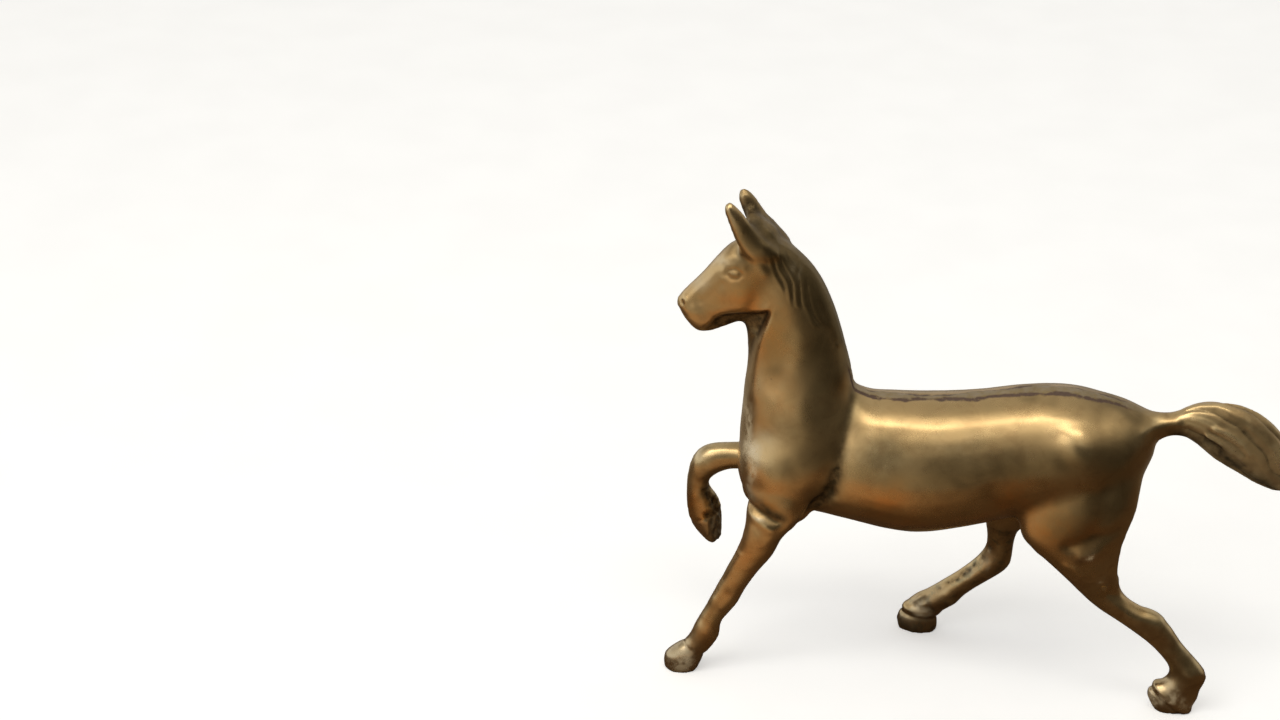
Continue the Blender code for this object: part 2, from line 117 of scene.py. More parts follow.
# Strokes along the surface, as seen from the side: (x, z points), height, half width, sides
BOTH = 0
NEAR = -1
OFF = 1
STROKES = (
    # nose bridge edge, and the hollow of the cheek under it
    (((-119, 184), (-113.4, 189.5), (-109, 194.5), (-104, 201.5), (-99.5, 207)), 0.55, 2.4, BOTH),
    (((-113, 183), (-108, 188), (-104, 193.5)), -0.45, 2.6, BOTH),
    # upper and lower eyelids, the corner of the eye, and the brow
    (((-102.5, 198.5), (-100.2, 201.6), (-96.6, 202.8), (-93.2, 201)), 0.25, 1.4, BOTH),
    (((-101.5, 195.4), (-98.6, 194.2), (-95, 195), (-92.8, 197.6)), 0.05, 1.4, BOTH),
    (((-101, 198.2), (-98.6, 196.6), (-95.6, 196.9), (-94, 198.6)), -0.5, 0.9, BOTH),
    (((-100.4, 199.6), (-97, 201), (-94.2, 199.8)), -0.45, 0.8, BOTH),
    (((-101.5, 204), (-97.2, 205.4), (-93.4, 203.6)), 0.4, 2, BOTH),
    # cheek bone
    (((-103, 195.5), (-107.5, 190.8), (-111.5, 186)), 0.35, 1.5, BOTH),
    # mouth
    (((-122, 177.6), (-119, 175.2)), -0.3, 0.8, BOTH),
    (((-121.5, 180.4), (-117.6, 178.6), (-113.4, 177)), 0.15, 1.6, BOTH),
    # edge of the jaw
    (((-106, 179), (-99.5, 181.6), (-91.5, 182)), 0.3, 2.2, BOTH),
    # ear rims
    (((-101, 231), (-98.4, 224.5), (-95.4, 217.6), (-91.6, 211.5), (-87.6, 205.5), (-84, 200.6)),
     0.35, 2, NEAR),
    (((-97.6, 231), (-95, 224.5), (-92, 217.6), (-88.2, 211.5), (-84.4, 205.5)), 0.35, 2, OFF),
    # neck muscles
    (((-82, 182), (-83.5, 170), (-86, 156), (-88, 142)), 0.5, 3.4, BOTH),
    (((-72, 172), (-74, 160), (-77, 148)), -0.35, 3.6, BOTH),
    # shoulder valley, the front edge of the barrel, and the crease behind the elbow
    (((-38.4, 152), (-43, 145), (-45.4, 134), (-47.6, 120), (-51.4, 108), (-58, 94)), -1.3, 6, BOTH),
    (((-46, 138), (-49, 122), (-51, 110)), -1.3, 13, BOTH),
    (((-38, 150), (-41.4, 144), (-43.8, 134), (-46.6, 120)), -0.8, 2.2, BOTH),
    (((-62, 140), (-66, 126), (-68, 112), (-70, 98)), 0.7, 9, BOTH),
    (((-50.5, 101), (-57, 91), (-64, 83)), -1.6, 2.1, BOTH),
    (((-46.5, 116), (-48, 109), (-50.5, 102)), -0.7, 2.8, BOTH),
    (((-49, 112), (-53, 101), (-60, 90), (-67, 82)), -0.7, 6, BOTH),
    (((-80, 126), (-84, 112), (-85, 98)), -0.5, 5, BOTH),
    # flank, thigh and stifle
    (((22, 108), (25, 102), (29, 96)), -0.6, 5, BOTH),
    (((70, 112), (70, 100), (66, 92)), -0.7, 4, NEAR),
    (((54, 134), (60, 128), (63, 120)), 0.9, 7, BOTH),
    (((66, 140), (70, 128), (72, 114)), -0.5, 6, BOTH),
    # near foreleg: overhang above the joint and the ledge below it
    (((-91, 93), (-84.7, 91), (-79, 89), (-73.4, 86.5)), -0.9, 1.3, NEAR),
    (((-91, 94), (-84.7, 92), (-79, 90), (-72, 87)), -0.9, 5, NEAR),
    (((-85, 87.6), (-80, 85.4), (-76, 82.8)), 0.8, 2.3, NEAR),
    (((-98, 56), (-94, 60), (-90, 66)), 0.3, 2, NEAR),
    (((-96, 46), (-102, 36), (-106, 28)), -0.5, 1.6, NEAR),
    # near hind leg: crease and ledge at the stifle, the tendon and the hock
    (((56, 85.5), (62, 88.5), (70, 91), (78, 94)), -0.9, 2.8, NEAR),
    (((62, 81), (68, 83)), 0.9, 3, NEAR),
    (((56, 75), (59.5, 74), (62, 71)), 0.5, 2, NEAR),
    (((76, 62), (84, 56.6), (92, 52)), -0.7, 1.8, NEAR),
    (((80, 66), (88, 60), (96, 53), (101, 47)), 0.5, 2, NEAR),
    (((92, 47), (98, 41), (103, 35)), -0.4, 1.8, NEAR),
    (((104, 33), (110, 26), (116, 21)), 0.4, 2, NEAR),
    # off hind leg
    (((28, 54), (26.5, 46), (21, 39.5), (13, 31), (4.5, 23.5), (-1, 17)), 0.7, 2.2, OFF),
    (((24, 53), (20, 46), (11, 37), (3, 30), (-4.5, 22)), -0.6, 3, OFF),
    # the dock's edge
    (((85, 136.3), (92, 137.2), (99, 138.6)), 0.8, 1.7, BOTH),
    # the tail's sharper crests and the hollows between them
    (((112, 134.5), (117, 132.2), (122, 129.4), (127, 125.6)), 1, 1.2, BOTH),
    (((115, 138.2), (120, 137.2), (124.4, 135), (127.6, 132), (131, 127)), 1, 1.2, BOTH),
    (((113, 136.4), (119, 134.4), (124, 131.4), (129, 126.4)), -0.6, 1.2, BOTH),
    (((110, 132), (116, 129.2), (122, 125.4), (129, 120.5)), -0.6, 1.4, BOTH),
    (((128, 138), (134, 134), (140, 127.6), (145, 120)), -0.6, 1.6, BOTH),
    # off foreleg
    (((-92, 93), (-100, 92.5), (-107, 90)), -0.4, 2, OFF),
)

# Knobs and dents, each made at y and again at -y: (x, y, z, height, reach)
KNOBS = (
    # eye, brow, temple, nostril with its opening, cheek and muzzle
    (-97.4, 9.6, 198.8, 0.2, 1.8), (-97.2, 8, 205.2, 0.25, 2.4), (-96.6, 6, 209.4, -0.6, 3.4),
    (-119.6, 4.9, 182.2, 0.45, 2.2), (-120.6, 4.6, 181, -0.9, 1), (-93, 8.8, 188.5, 0.7, 6),
    (-114.6, 6.2, 179.4, 0.3, 3),
    # point of the hip, shoulder and belly
    (58, 24, 133.5, 1.7, 8), (-76, 25.5, 107, 0.9, 10), (-22, 27, 95, 0.9, 20),
)
# Knobs and dents that are made only where they are given
SINGLE_KNOBS = (
    # tip of the off ear, and the off hind fetlock
    (-97.5, 8, 231.5, -1.3, 3.2), (6.5, 25.5, 20, 1.4, 4),
    # near hind leg: pin, coronet, heel, pastern, two small dents, hock and fetlock
    (72.9, -26.9, 69.2, 0.3, 1.4), (109, -25, 12.5, 0.9, 4.2), (124, -22, 0, -1, 7),
    (122.5, -21, 12, -0.8, 4), (74.9, -26.6, 60.6, -0.35, 1.2), (82.9, -25.8, 50.7, -0.4, 1.2),
    (99, -25, 49, 0.5, 3.4), (115.5, -24.5, 22, 0.5, 3.2),
    # near fore cannon
    (-103.5, -27, 40.5, 0.5, 3),
)

# Hooves: a point on the crown's edge, the crown plane's normal from leg to hoof, the box
# (low, high), and how much the crown stands out, its groove goes in and the wall flares
HOOVES = (
    ((-114.6, -22, 14.2), (-0.5, 0, -0.87), (-132, -40, -1), (-98, -8, 24), 0, 0.25, 0.4),
    ((104.4, -20, 7.5), (-0.61, 0, -0.79), (94, -40, -1), (128, -8, 24), 0.9, 0.6, 0.2),
    ((-8.2, 24.6, 8.6), (-0.12, 0, -0.99), (-24, 18, -1), (6, 42, 22), 0.7, 0.5, 0.2),
    ((-110, 20, 60.5), (0.35, 0, -0.93), (-125, 8, 42), (-98, 34, 74), 0, 0.2, 0),
)

# The raised forefoot's sole: the way it faces, and its box
RAISED_SOLE = ((0.82, -0.47, -0.33), (-113, 8, 43), (-98, 34, 76))

# Lines on the side of the head and neck, below and ahead of which the skin turns in: (x, z)
# points, the share of the half width that is taken away, and over which distance
JAW_EDGE = ((-114, 169), (-110, 172), (-107, 176), (-103, 178.6), (-97, 180), (-91, 180.4),
            (-86, 181.8), (-81, 184.5))
JAW_TUCK = 0.45
JAW_REACH = 3.5
THROAT_EDGE = ((-78.5, 184), (-80, 179), (-83, 172), (-85.4, 164), (-87.4, 156), (-89.4, 146))
THROAT_TUCK = 0.35
THROAT_REACH = 4.0
# and where the tucks end
JAW_FRONT_X = -113
JAW_BACK_X = -78.5
JAW_BOTTOM_Z = 160
THROAT_FRONT_X = -98
THROAT_BACK_X = -76
THROAT_BOTTOM_Z = 136
THROAT_TOP_Z = 179

# Mane: the crest of the neck, the mane's lower edge with its scallops, and the x and z at which
# the mane ends
CREST = ((-92, 224), (-85, 220), (-80, 217), (-75, 212), (-70, 206.5), (-65, 200.5), (-60, 193),
         (-56, 184), (-53, 175), (-51, 168))
MANE_EDGE = ((-90, 210.5), (-86.4, 207), (-82.6, 201.6), (-78.8, 195), (-75, 189.4), (-71, 185.4),
             (-67.4, 183.4), (-64.4, 178.6), (-61.4, 175), (-58, 174.5), (-55, 172), (-52.4, 168))
SCALLOPS = 4.5
SCALLOP_DEPTH = 0.6
MANE_FRONT_X = -87
MANE_BOTTOM_Z = 164
MANE_LIFT = 0.3
LOCK_SPACING = 3.4
LOCK_LEAN = 18.0
LOCK_DEPTH = 0.6
LOCK_SWAY = 0.22
# How far the hair of each side is shifted, as a share of a lock
SIDE_SHIFT = 0.35

# Soft patches: (x, z, reach in x, reach in z, strength). Painted reflection of the warm floor, in
# brown:
PAINTED_REFLECTION_PATCHES = (
    (31, 104, 9, 11, 0.75), (-26, 100, 11, 10, 0.7), (-90, 191, 10, 12, 0.9),
    (-106, 184, 9, 8, 0.45), (-78, 170, 9, 17, 0.9), (-78, 152, 9, 14, 0.55),
    (50, 94, 17, 13, 0.85), (-20, 88, 40, 8, 0.5), (-80, 97, 9, 6, 0.95), (-92, 62, 12, 20, 0.5),
    (-106, 22, 7, 7, 0.5), (-116, 68, 3, 12, 0.9), (-113, 57, 3, 4, 0.7), (20, 90, 20, 8, 0.4),
    (-46, 150, 5, 8, 0.3),
)
# Dull, dark patina and painted shade
DULL_AND_SHADE_PATCHES = (
    # head and ears
    (-97, 206.5, 4, 4, 0.9), (-92, 204, 3, 6, 0.4), (-88, 218, 6, 6, 0.9), (-84, 209, 7, 8, 0.8),
    (-96.5, 208, 4.5, 4, 0.8), (-98, 198, 3.5, 2.2, 0.5),
    # neck and shoulder
    (-43.5, 139, 5.5, 10, 1), (-54, 165, 6, 16, 0.8), (-47, 156, 5, 12, 1),
    (-46, 118, 3, 8, 0.5), (-76, 151, 8, 7, 0.65), (-72, 112, 6, 8, 0.6), (-50.5, 100, 5, 6, 1),
    (-78, 158, 8, 16, 0.3), (-70, 128, 8, 12, 0.35), (-80, 98, 10, 6, 0.35),
    (-59, 172, 8, 22, 0.75), (-56, 132, 8, 26, 0.35), (-54, 98, 4, 8, 0.6),
    (-78, 92, 10, 4, 1),
    # barrel, rump and thigh
    (50, 126, 9, 5, 0.8), (6, 115, 10, 4, 0.6), (48, 102, 5, 5, 0.4), (75, 146, 20, 5, 0.8),
    (38, 147.5, 10, 2, 0.5), (18, 121, 26, 6, 0.5), (54, 96, 15, 13, 0.45), (82, 140, 16, 6, 0.3),
    (74, 112, 12, 24, 0.6), (62, 90, 12, 2.5, 0.5),
    # tail
    (124, 143, 14, 4, 0.6), (136, 138, 8, 4, 0.6), (112, 128.5, 8, 2.5, 0.7),
    (124, 121.5, 8, 3, 0.7), (137, 113, 8, 3, 0.7), (148, 106, 8, 3, 0.6), (100, 132.5, 6, 2.5, 0.8),
    # near hind leg
    (98, 45, 9, 8, 0.4), (110, 28, 8, 10, 0.7), (106, 30, 6, 8, 0.3),
)
# Painted shade in the hollows, on the off side only
OFF_SIDE_SHADE_PATCHES = (
    (-112, 75, 2.2, 5, 0.8), (-108.5, 69, 3, 6, 0.8), (-104.5, 56, 4, 8, 0.7), (28, 44, 3, 9, 0.6),
    (8, 21, 3.5, 4, 0.6), (18, 32, 6, 3, 0.5), (30, 62, 5, 6, 0.5), (-94.5, 225, 6, 9, 0.9),
)
# Painted highlights: bright brass where the light glints
PAINTED_HIGHLIGHT_PATCHES = (
    (112, 14, 5, 3, 0.9), (109, 7, 8, 5, 0.6), (103.5, 141.5, 5.5, 3, 0.9),
    (87.5, 136.2, 6, 2.5, 1), (122, 130, 4, 2, 1), (122.5, 130, 4, 1.8, 1),
    (-26, 122, 12, 6, 0.7), (2, 129, 12, 4, 0.5), (125.5, 134, 3.2, 1.4, 0.8),
    (-36, 140, 8, 4, 0.3), (50, 140, 8, 4, 0.3), (-78, 84.8, 4.5, 1.8, 0.95),
)
# Painted sheen and highlights: pale brass
PAINTED_SHEEN_PATCHES = (
    # head, mane and chest
    (-113, 192, 4, 4, 0.5), (-105, 202, 4, 4, 0.5), (-98.5, 220, 2, 9, 0.4),
    (-73, 203, 1.5, 4, 0.6), (-70, 198, 1.2, 4, 0.5), (-86.5, 106, 4, 9, 0.9),
    (-83, 127, 5, 5, 0.4), (-88.5, 120, 4.5, 20, 0.95),
    # forelegs
    (-117, 7, 9, 9, 0.9), (-81, 86, 4.5, 1.4, 0.9), (-114, 92, 4, 3, 0.6),
    # hind legs
    (109, 10, 7, 6, 0.85), (101, 5, 5, 6, 0.8), (64.8, 81.8, 4, 2.6, 0.9),
    (72.9, 69.2, 1.2, 1.2, 0.8), (109, 7, 7, 5, 0.95), (117, 6, 5, 6, 0.6),
    (12, 38, 10, 4, 0.25), (-2, 24, 6, 4, 0.3), (21, 47, 2.5, 4, 0.6), (-5, 15, 7, 6, 1),
    (-12, 6, 5, 3, 0.5),
)
# Painted shadow lines in the creases: (x, z) points, half width, strength, sides
SHADOWS = (
    (((-88, 96), (-81.5, 94), (-78, 92), (-71, 88)), 2.4, 0.9, NEAR),
    (((-47.5, 111), (-49.5, 105), (-52, 98), (-56, 92)), 3.4, 0.9, BOTH),
    (((100, 132.5), (112, 128.5), (124, 121.5), (137, 113.5), (148, 106)), 3.4, 0.75, BOTH),
    (((54, 84), (58, 82), (61, 79)), 2.2, 0.6, NEAR),
)

# Braze along the crest, the back and the rump: the y of its middle, its path, and where it is
# wider or narrower: (x, reach, by how much). It fades in at BRAZE_START, a share of the path;
# before that a painted shade line along the crest takes its place
BRAZE_MIDDLE = -0.6
BRAZE_HALF_WIDTH = 2.7
BRAZE_PATH = ((-82, 218), (-76, 213), (-70, 206.5), (-60, 193), (-53, 176), (-48, 160), (-42, 147),
              (-30, 142), (-8, 142), (12, 145), (32, 148.6), (50, 150.5), (66, 148.6), (77, 145),
              (87, 141))
BRAZE_WIDENING = ((38, 9, 1.2), (57, 8, 0.8), (10, 5, 0.8), (-24, 8, 0.4), (-6, 9, -1.2))
BRAZE_LIFT = 0.22
BRAZE_RIM_DEPTH = 0.16
BRAZE_ROUGHNESS = 0.07
BRAZE_START = 0.3
BRAZE_FADE = 0.08
CREST_LINE_WIDTH = 8.0
CREST_LINE_TOP_Z = 218

# Tail: its middle line, where its hair and its tarnish begin, and the strands: how many from
# top to bottom, how far they turn on the way to the tip, and their depth. The fine strands'
# number and turn are multiples of these
TAIL_LINE = ((94, 135.5), (104, 138), (112, 137), (121, 134), (129, 130), (137, 125), (145, 119),
             (152, 114), (158, 110))
TAIL_ROOT_X = 98
TAIL_BOTTOM_Z = 98
TARNISH_START_X = 97
TARNISH_REACH = 16
STRANDS = 3.0
TWIST = 1.7
STRAND_DEPTH = 1.2
FINE_STRANDS = 2.3
FINE_TWIST = 2.4
FINE_DEPTH = 0.35

# Pits in the castings of the off legs: (x, y, z, depth, reach)
PITS = (
    (-6.7, 25.1, 19, 1.1, 2), (-9.8, 25.3, 15, 0.9, 1.6), (-8.4, 25.2, 17.2, 0.8, 1.4),
    (13.6, 23.2, 38.3, 0.8, 1.6), (11.6, 23.3, 36, 0.7, 1.4), (8.8, 23.3, 32.8, 0.5, 1.1),
    (19, 22.7, 45.6, 0.6, 1), (16, 23.1, 41.6, 0.6, 1.1), (4.7, 24.1, 29.9, 0.4, 1),
    (22.4, 21.3, 52.2, 0.7, 1.5), (1, 24.5, 26, 0.4, 1), (6.6, 24, 31.4, 0.4, 0.8),
    (-107.2, 17, 68.3, 0.6, 1.4), (-105.5, 16, 63, 0.7, 1.5), (-110.7, 14.6, 61.5, 0.8, 1.8),
)

# How dark each kind of hollow is made, with dark patina and painted shade, and how bright each kind
# of edge, with wear and painted highlights
RELIEF_ROUNDS = 14
RELIEF_SHADE = 2.4
MANE_SHADE = 0.45
STRAND_SHADE = 0.35
SOLE_SHADE = 0.8
TUCK_SHADE = 1.1
PIT_SHADE = 0.85
FORK_SHADE = 0.75
EDGE_SHINE = 3.0
STRAND_SHINE = 0.6


# ---- arrays

def ease(value):
    """A smooth step from 0 to 1."""
    value = np.clip(value, 0.0, 1.0)
    return value * value * (3.0 - 2.0 * value)


def along_line(points, line):
    """Distance of each 2-D point to a polyline, its place along it (0 to 1) and signed offset."""
    line = np.asarray(line, float)
    steps = np.diff(line, axis=0)
    lengths = np.linalg.norm(steps, axis=1)
    starts = np.concatenate(([0.0], np.cumsum(lengths)))
    best = np.full(len(points), np.inf)
    place = np.zeros(len(points))
    side = np.zeros(len(points))
    for start, step, length, before in zip(line, steps, lengths, starts):
        offset = points - start
        share = np.clip(offset @ step / length**2, 0.0, 1.0)
        gap = offset - share[:, None] * step
        distance = np.linalg.norm(gap, axis=1)
        nearer = distance < best
        best[nearer] = distance[nearer]
        place[nearer] = before + share[nearer] * length
        turn = step[0] * offset[:, 1] - step[1] * offset[:, 0]
        side[nearer] = np.sign(turn[nearer])
    return best, place / starts[-1], side * best


def ripple(places, wavelength, seed, waves=9):
    """Smooth deterministic unevenness, about -1 to 1."""
    random = np.random.default_rng(seed)
    total = np.zeros(len(places))
    for _ in range(waves):
        direction = random.normal(size=3)
        direction /= np.linalg.norm(direction)
        length = wavelength * random.uniform(0.7, 1.5)
        total += np.sin(places @ direction * (2 * math.pi / length) + random.uniform(0, 6.3))
    return total / math.sqrt(waves / 1.2)


def fade(gap, reach, power=2):
    """1 where the gap is 0, falling to 0 beyond the reach."""
    return np.exp(-(gap / reach) ** power)


def blob(places, middle, reach, power=2):
    """1 in the middle, falling to 0 around it."""
    return fade(np.linalg.norm(places - middle, axis=1), reach, power)


def inside(places, low, high):
    """Which places lie in a box."""
    return np.all((places >= low) & (places <= high), axis=1)


# ---- the closed skin

def metres(point):
    """A point of the tables in the frame's metres."""
    return Vector((np.asarray(point, float) - BASE_CENTRE) * MM)


def mesh_places(mesh):
    """A mesh's vertices in the tables' millimetres."""
    places = np.empty(len(mesh.vertices) * 3, np.float32)
    mesh.vertices.foreach_get("co", places)
    return places.reshape(-1, 3) / MM + BASE_CENTRE


def set_mesh_places(mesh, places):
    """Put the vertices of a mesh at places given in the tables' millimetres."""
    rows = ((places - BASE_CENTRE) * MM).astype(np.float32)
    mesh.vertices.foreach_set("co", rows.ravel())
    mesh.update()


def add_object(name, data):
    """A new object in the scene."""
    obj = bpy.data.objects.new(name, data)
    bpy.context.scene.collection.objects.link(obj)
    return obj


def welded_copy(node):
    """A copy of a CAD node's mesh with its split vertices joined."""
    bm = bmesh.new()
    bm.from_mesh(frame["nodes"][node].data)
    bmesh.ops.remove_doubles(bm, verts=bm.verts, dist=WELD_DISTANCE)
    mesh = bpy.data.meshes.new(node + "_copy")
    bm.to_mesh(mesh)
    bm.free()
    return mesh


def close_gaps(node, places):
    """Move the vertices on the joints across them, so that the castings overlap."""
    if node in BODY_HALVES:
        side = BODY_HALVES[node]
        seam = np.abs(places[:, 1] - side * CAD_SEAM) < CAD_SEAM_REACH
        places[seam, 1] = -side * OVERLAP
    for name, (low, high, axis, plane, body_side) in CASTINGS.items():
        if node not in BODY_HALVES and node != name:
            continue
        way = -body_side if node in BODY_HALVES else body_side
        near = np.abs(places[:, axis] - plane) < JOINT_REACH
        near &= inside(places, low, high)
        places[near, axis] = plane + way * OVERLAP
    return places


def swell(places):
    """Thicken a round pin, so that it closes its hole."""
    size = np.ptp(places, axis=0)
    length = int(np.argmax(size))
    middle = (places.max(0) + places.min(0)) / 2
    for axis in range(3):
        if axis != length:
            growth = 1 + PIN_SWELL / (size[axis] / 2)
            places[:, axis] = middle[axis] + (places[:, axis] - middle[axis]) * growth
    return places


def closed_skin():
    """One closed skin round all the castings and pins; the dowels are hidden inside."""
    bm = bmesh.new()
    for node in frame["nodes"]:
        if "dowel" in node:
            continue
        mesh = welded_copy(node)
        places = mesh_places(mesh)
        is_casting = node in CASTINGS or node in BODY_HALVES
        set_mesh_places(mesh, close_gaps(node, places) if is_casting else swell(places))
        bm.from_mesh(mesh)
        bpy.data.meshes.remove(mesh)
    for *middle, radius in LUMPS:
        place = Matrix.Translation(metres(middle))
        bmesh.ops.create_icosphere(bm, subdivisions=3, radius=radius * MM, matrix=place)
    mesh = bpy.data.meshes.new("skin")
    bm.to_mesh(mesh)
    bm.free()
    obj = add_object("skin", mesh)
    remesh = obj.modifiers.new("skin", "REMESH")
    remesh.mode = "VOXEL"
    remesh.voxel_size = VOXEL * MM
    depsgraph = bpy.context.evaluated_depsgraph_get()
    made = bpy.data.meshes.new_from_object(obj.evaluated_get(depsgraph))
    bpy.data.objects.remove(obj)
    bpy.data.meshes.remove(mesh)
    return made


class Clay:
    """The skin's places, normals and neighbours as arrays, in the tables' millimetres."""

    def __init__(self, mesh):
        self.mesh = mesh
        self.read()

    def read(self):
        """Take the places and the neighbours from the mesh."""
        mesh = self.mesh
        self.places = mesh_places(mesh)
        edges = np.empty(len(mesh.edges) * 2, np.int64)
        mesh.edges.foreach_get("vertices", edges)
        self.edges = edges.reshape(-1, 2)
        self.count = len(mesh.vertices)
        self.valence = np.bincount(self.edges.ravel(), minlength=self.count)[:, None]

    def around(self, values):
        """The mean of each vertex's neighbours."""
        columns = []
        for column in values.T:
            total = np.bincount(self.edges[:, 0], column[self.edges[:, 1]], self.count)
            total += np.bincount(self.edges[:, 1], column[self.edges[:, 0]], self.count)
            columns.append(total)
        return np.stack(columns, 1) / self.valence

    def soften(self, rounds):
        """Smooth without shrinking: each round pulls in and then pushes out."""
        for _ in range(rounds):
            for strength in (0.6, -0.62):
                self.places += strength * (self.around(self.places) - self.places)

    def relax(self, rounds, amount=1.0):
        """Smooth and let the forms melt: each round only pulls in, by an amount per vertex."""
        amount = np.reshape(amount, (-1, 1))
        for _ in range(rounds):
            self.places += 0.5 * amount * (self.around(self.places) - self.places)

    def normals(self):
        """The vertex normals at the present places."""
        set_mesh_places(self.mesh, self.places)
        normals = np.empty(self.count * 3, np.float32)
        self.mesh.vertex_normals.foreach_get("vector", normals)
        return normals.reshape(-1, 3).astype(float)

    def raise_by(self, height):
        """Move each vertex out along its normal."""
        self.places += self.normals() * height[:, None]

    def write(self):
        set_mesh_places(self.mesh, self.places)


def refine(clay):
    """Split each face in the fine places and along the braze into four."""
    fine = braze_distance(clay.places)[0] < FINE_BAND
    for low, high in FINE_BOXES:
        fine = fine | inside(clay.places, low, high)
    bm = bmesh.new()
    bm.from_mesh(clay.mesh)
    bm.verts.ensure_lookup_table()
    faces = [f for f in bm.faces if all(fine[v.index] for v in f.verts)]
    edges = list(dict.fromkeys(e for f in faces for e in f.edges))
    bmesh.ops.subdivide_edges(bm, edges=edges, cuts=1, use_grid_fill=True)
    bm.to_mesh(clay.mesh)
    bm.free()
    clay.read()


# ---- modelling

def braze_distance(places):
    """Sideways distance from the middle of the braze band, and the place along it."""
    distance, place, _ = along_line(places[:, [0, 2]], BRAZE_PATH)
    sideways = places[:, 1] - BRAZE_MIDDLE
    return np.hypot(sideways, np.maximum(distance - 3.0, 0.0) * 1.5), place


def side_of(places, side):
    """How much of a vertex lies on a side: 1 everywhere for both sides."""
    if side == BOTH:
        return 1.0
    return ease(0.5 + side * places[:, 1] / 2.0)


def stroke_heights(places):
    """The height of all the strokes, each fading out across its line."""
    height = np.zeros(len(places))
    flat = places[:, [0, 2]]
    for line, amount, width, side in STROKES:
        low = np.min(line, axis=0) - 3 * width
        high = np.max(line, axis=0) + 3 * width
        near = np.all((flat >= low) & (flat <= high), axis=1)
        distance = along_line(flat[near], line)[0]
        share = np.broadcast_to(side_of(places, side), len(places))[near]
        height[near] += amount * fade(distance, width) * share
    return height


def knob_heights(places):
    """The height of all the knobs and dents."""
    height = np.zeros(len(places))
    mirrored = [(x, -y, z, amount, reach) for x, y, z, amount, reach in KNOBS]
    for *middle, amount, reach in (*KNOBS, *mirrored, *SINGLE_KNOBS):
        height += amount * blob(places, middle, reach)
    return height


def mane_heights(places):
    """The mane's height above the neck, how much of a vertex is mane, and how much valley."""
    flat = places[:, [0, 2]]
    x, y, z = places.T
    to_crest, place, _ = along_line(flat, CREST)
    _, edge_place, side = along_line(flat, MANE_EDGE)
    scallop = SCALLOP_DEPTH * np.sin(edge_place * 2 * math.pi * SCALLOPS + np.sign(y))
    zone = ease((side + scallop) / 3.0) * ease((z - MANE_BOTTOM_Z) / 4)
    zone *= ease((x - MANE_FRONT_X) / 5)
    zone *= ease((np.abs(y) - 1.5) / 2.0)
    lean = math.radians(LOCK_LEAN)
    sideways = x * math.cos(lean) + z * math.sin(lean)
    phase = sideways / LOCK_SPACING + LOCK_SWAY * ripple(places, 18.0, 51)
    phase = phase + SIDE_SHIFT * np.sign(y)
    valley = np.abs(np.sin(math.pi * phase)) ** 0.7
    grown = zone * ease((place - 0.2) / 0.15) * ease((1.0 - place) / 0.2)
    grown = grown * ease((to_crest - 1.5) / 2.5)
    height = zone * MANE_LIFT - LOCK_DEPTH * grown * (1.0 - valley)
    return height, zone, grown * (1.0 - valley)


def tail_heights(places):
    """The tail's strands: height, how much of a vertex is valley, and how much is crest."""
    x, y, z = places.T
    _, place, side = along_line(places[:, [0, 2]], TAIL_LINE)
    zone = ease((x - TAIL_ROOT_X) / 6) * (z > TAIL_BOTTOM_Z)
    # The strands leave the dock on top and run down the sides toward the tip
    from_top = np.arccos(side / (np.hypot(side, y * 1.6) + 1e-6)) / math.pi
    own_side = SIDE_SHIFT * np.sign(y)
    phase = from_top * STRANDS - TWIST * place + 0.1 * ripple(places, 24.0, 21) + own_side
    fine = from_top * STRANDS * FINE_STRANDS - FINE_TWIST * TWIST * place
    fine = fine + 0.2 * ripple(places, 18.0, 22) + own_side
    valley = np.abs(np.sin(math.pi * phase)) ** 0.6
    fine_valley = np.abs(np.sin(math.pi * fine)) ** 0.8
    grown = zone * ease(place / 0.25) * ease((1.04 - place) / 0.12)
    height = -STRAND_DEPTH * (1 - valley) - FINE_DEPTH * (1 - fine_valley)
    crest = grown * valley**4 * ease(0.4 + 0.8 * ripple(places, 9.0, 23))
    return grown * (height + 0.3), grown * (1 - valley), crest


def hoof_heights(places):
    """The hooves' crowns, grooves and flare, and how much of a vertex is hoof wall."""
    height = np.zeros(len(places))
    wall = np.zeros(len(places))
    for point, normal, low, high, crown, cut, spread in HOOVES:
        near = inside(places, low, high)
        normal = np.array(normal) / np.linalg.norm(normal)
        depth = (places[near] - point) @ normal
        bulge = crown * fade(depth + 2.3, 1.9)
        groove = -cut * fade(depth - 0.3, 1.0)
        flare = spread * ease(depth / 4.0)
        height[near] += bulge + groove + flare
        wall[near] = ease(depth / 1.0)
    return height, wall


def tuck_in(places):
    """Turn the skin in below the jaw and ahead of the throat's edge; also how much it is."""
    flat = places[:, [0, 2]]
    x, z = flat.T
    below = -along_line(flat, JAW_EDGE)[2]
    ahead = -along_line(flat, THROAT_EDGE)[2]
    jaw = ease(below / JAW_REACH) * ease(ahead / 3.0) * ease((x - JAW_FRONT_X) / 4.0)
    jaw *= ease((z - JAW_BOTTOM_Z) / 12.0)
    jaw *= ease((JAW_BACK_X - x) / 6.0)
    throat = ease(ahead / THROAT_REACH) * (x < THROAT_BACK_X)
    throat *= ease((THROAT_TOP_Z - z) / 5.0)
    throat *= ease((z - THROAT_BOTTOM_Z) / 22.0)
    throat *= ease((x - THROAT_FRONT_X) / 4.0)
    tucked = places.copy()
    tucked[:, 1] *= 1.0 - np.maximum(JAW_TUCK * jaw, THROAT_TUCK * throat)
    return tucked, np.maximum(jaw, 0.65 * throat)


def patches(places, table):
    """How much of a vertex lies in soft patches: (x, z, reach in x, reach in z, strength)."""
    total = np.zeros(len(places))
    wander = places + 2.0 * np.stack([ripple(places, 16.0, seed) for seed in (41, 42, 43)], 1)
    for x, z, reach_x, reach_z, strength in table:
        gap = ((wander[:, 0] - x) / reach_x) ** 2 + ((wander[:, 2] - z) / reach_z) ** 2
        total = np.maximum(total, strength * np.exp(-gap))
    return total


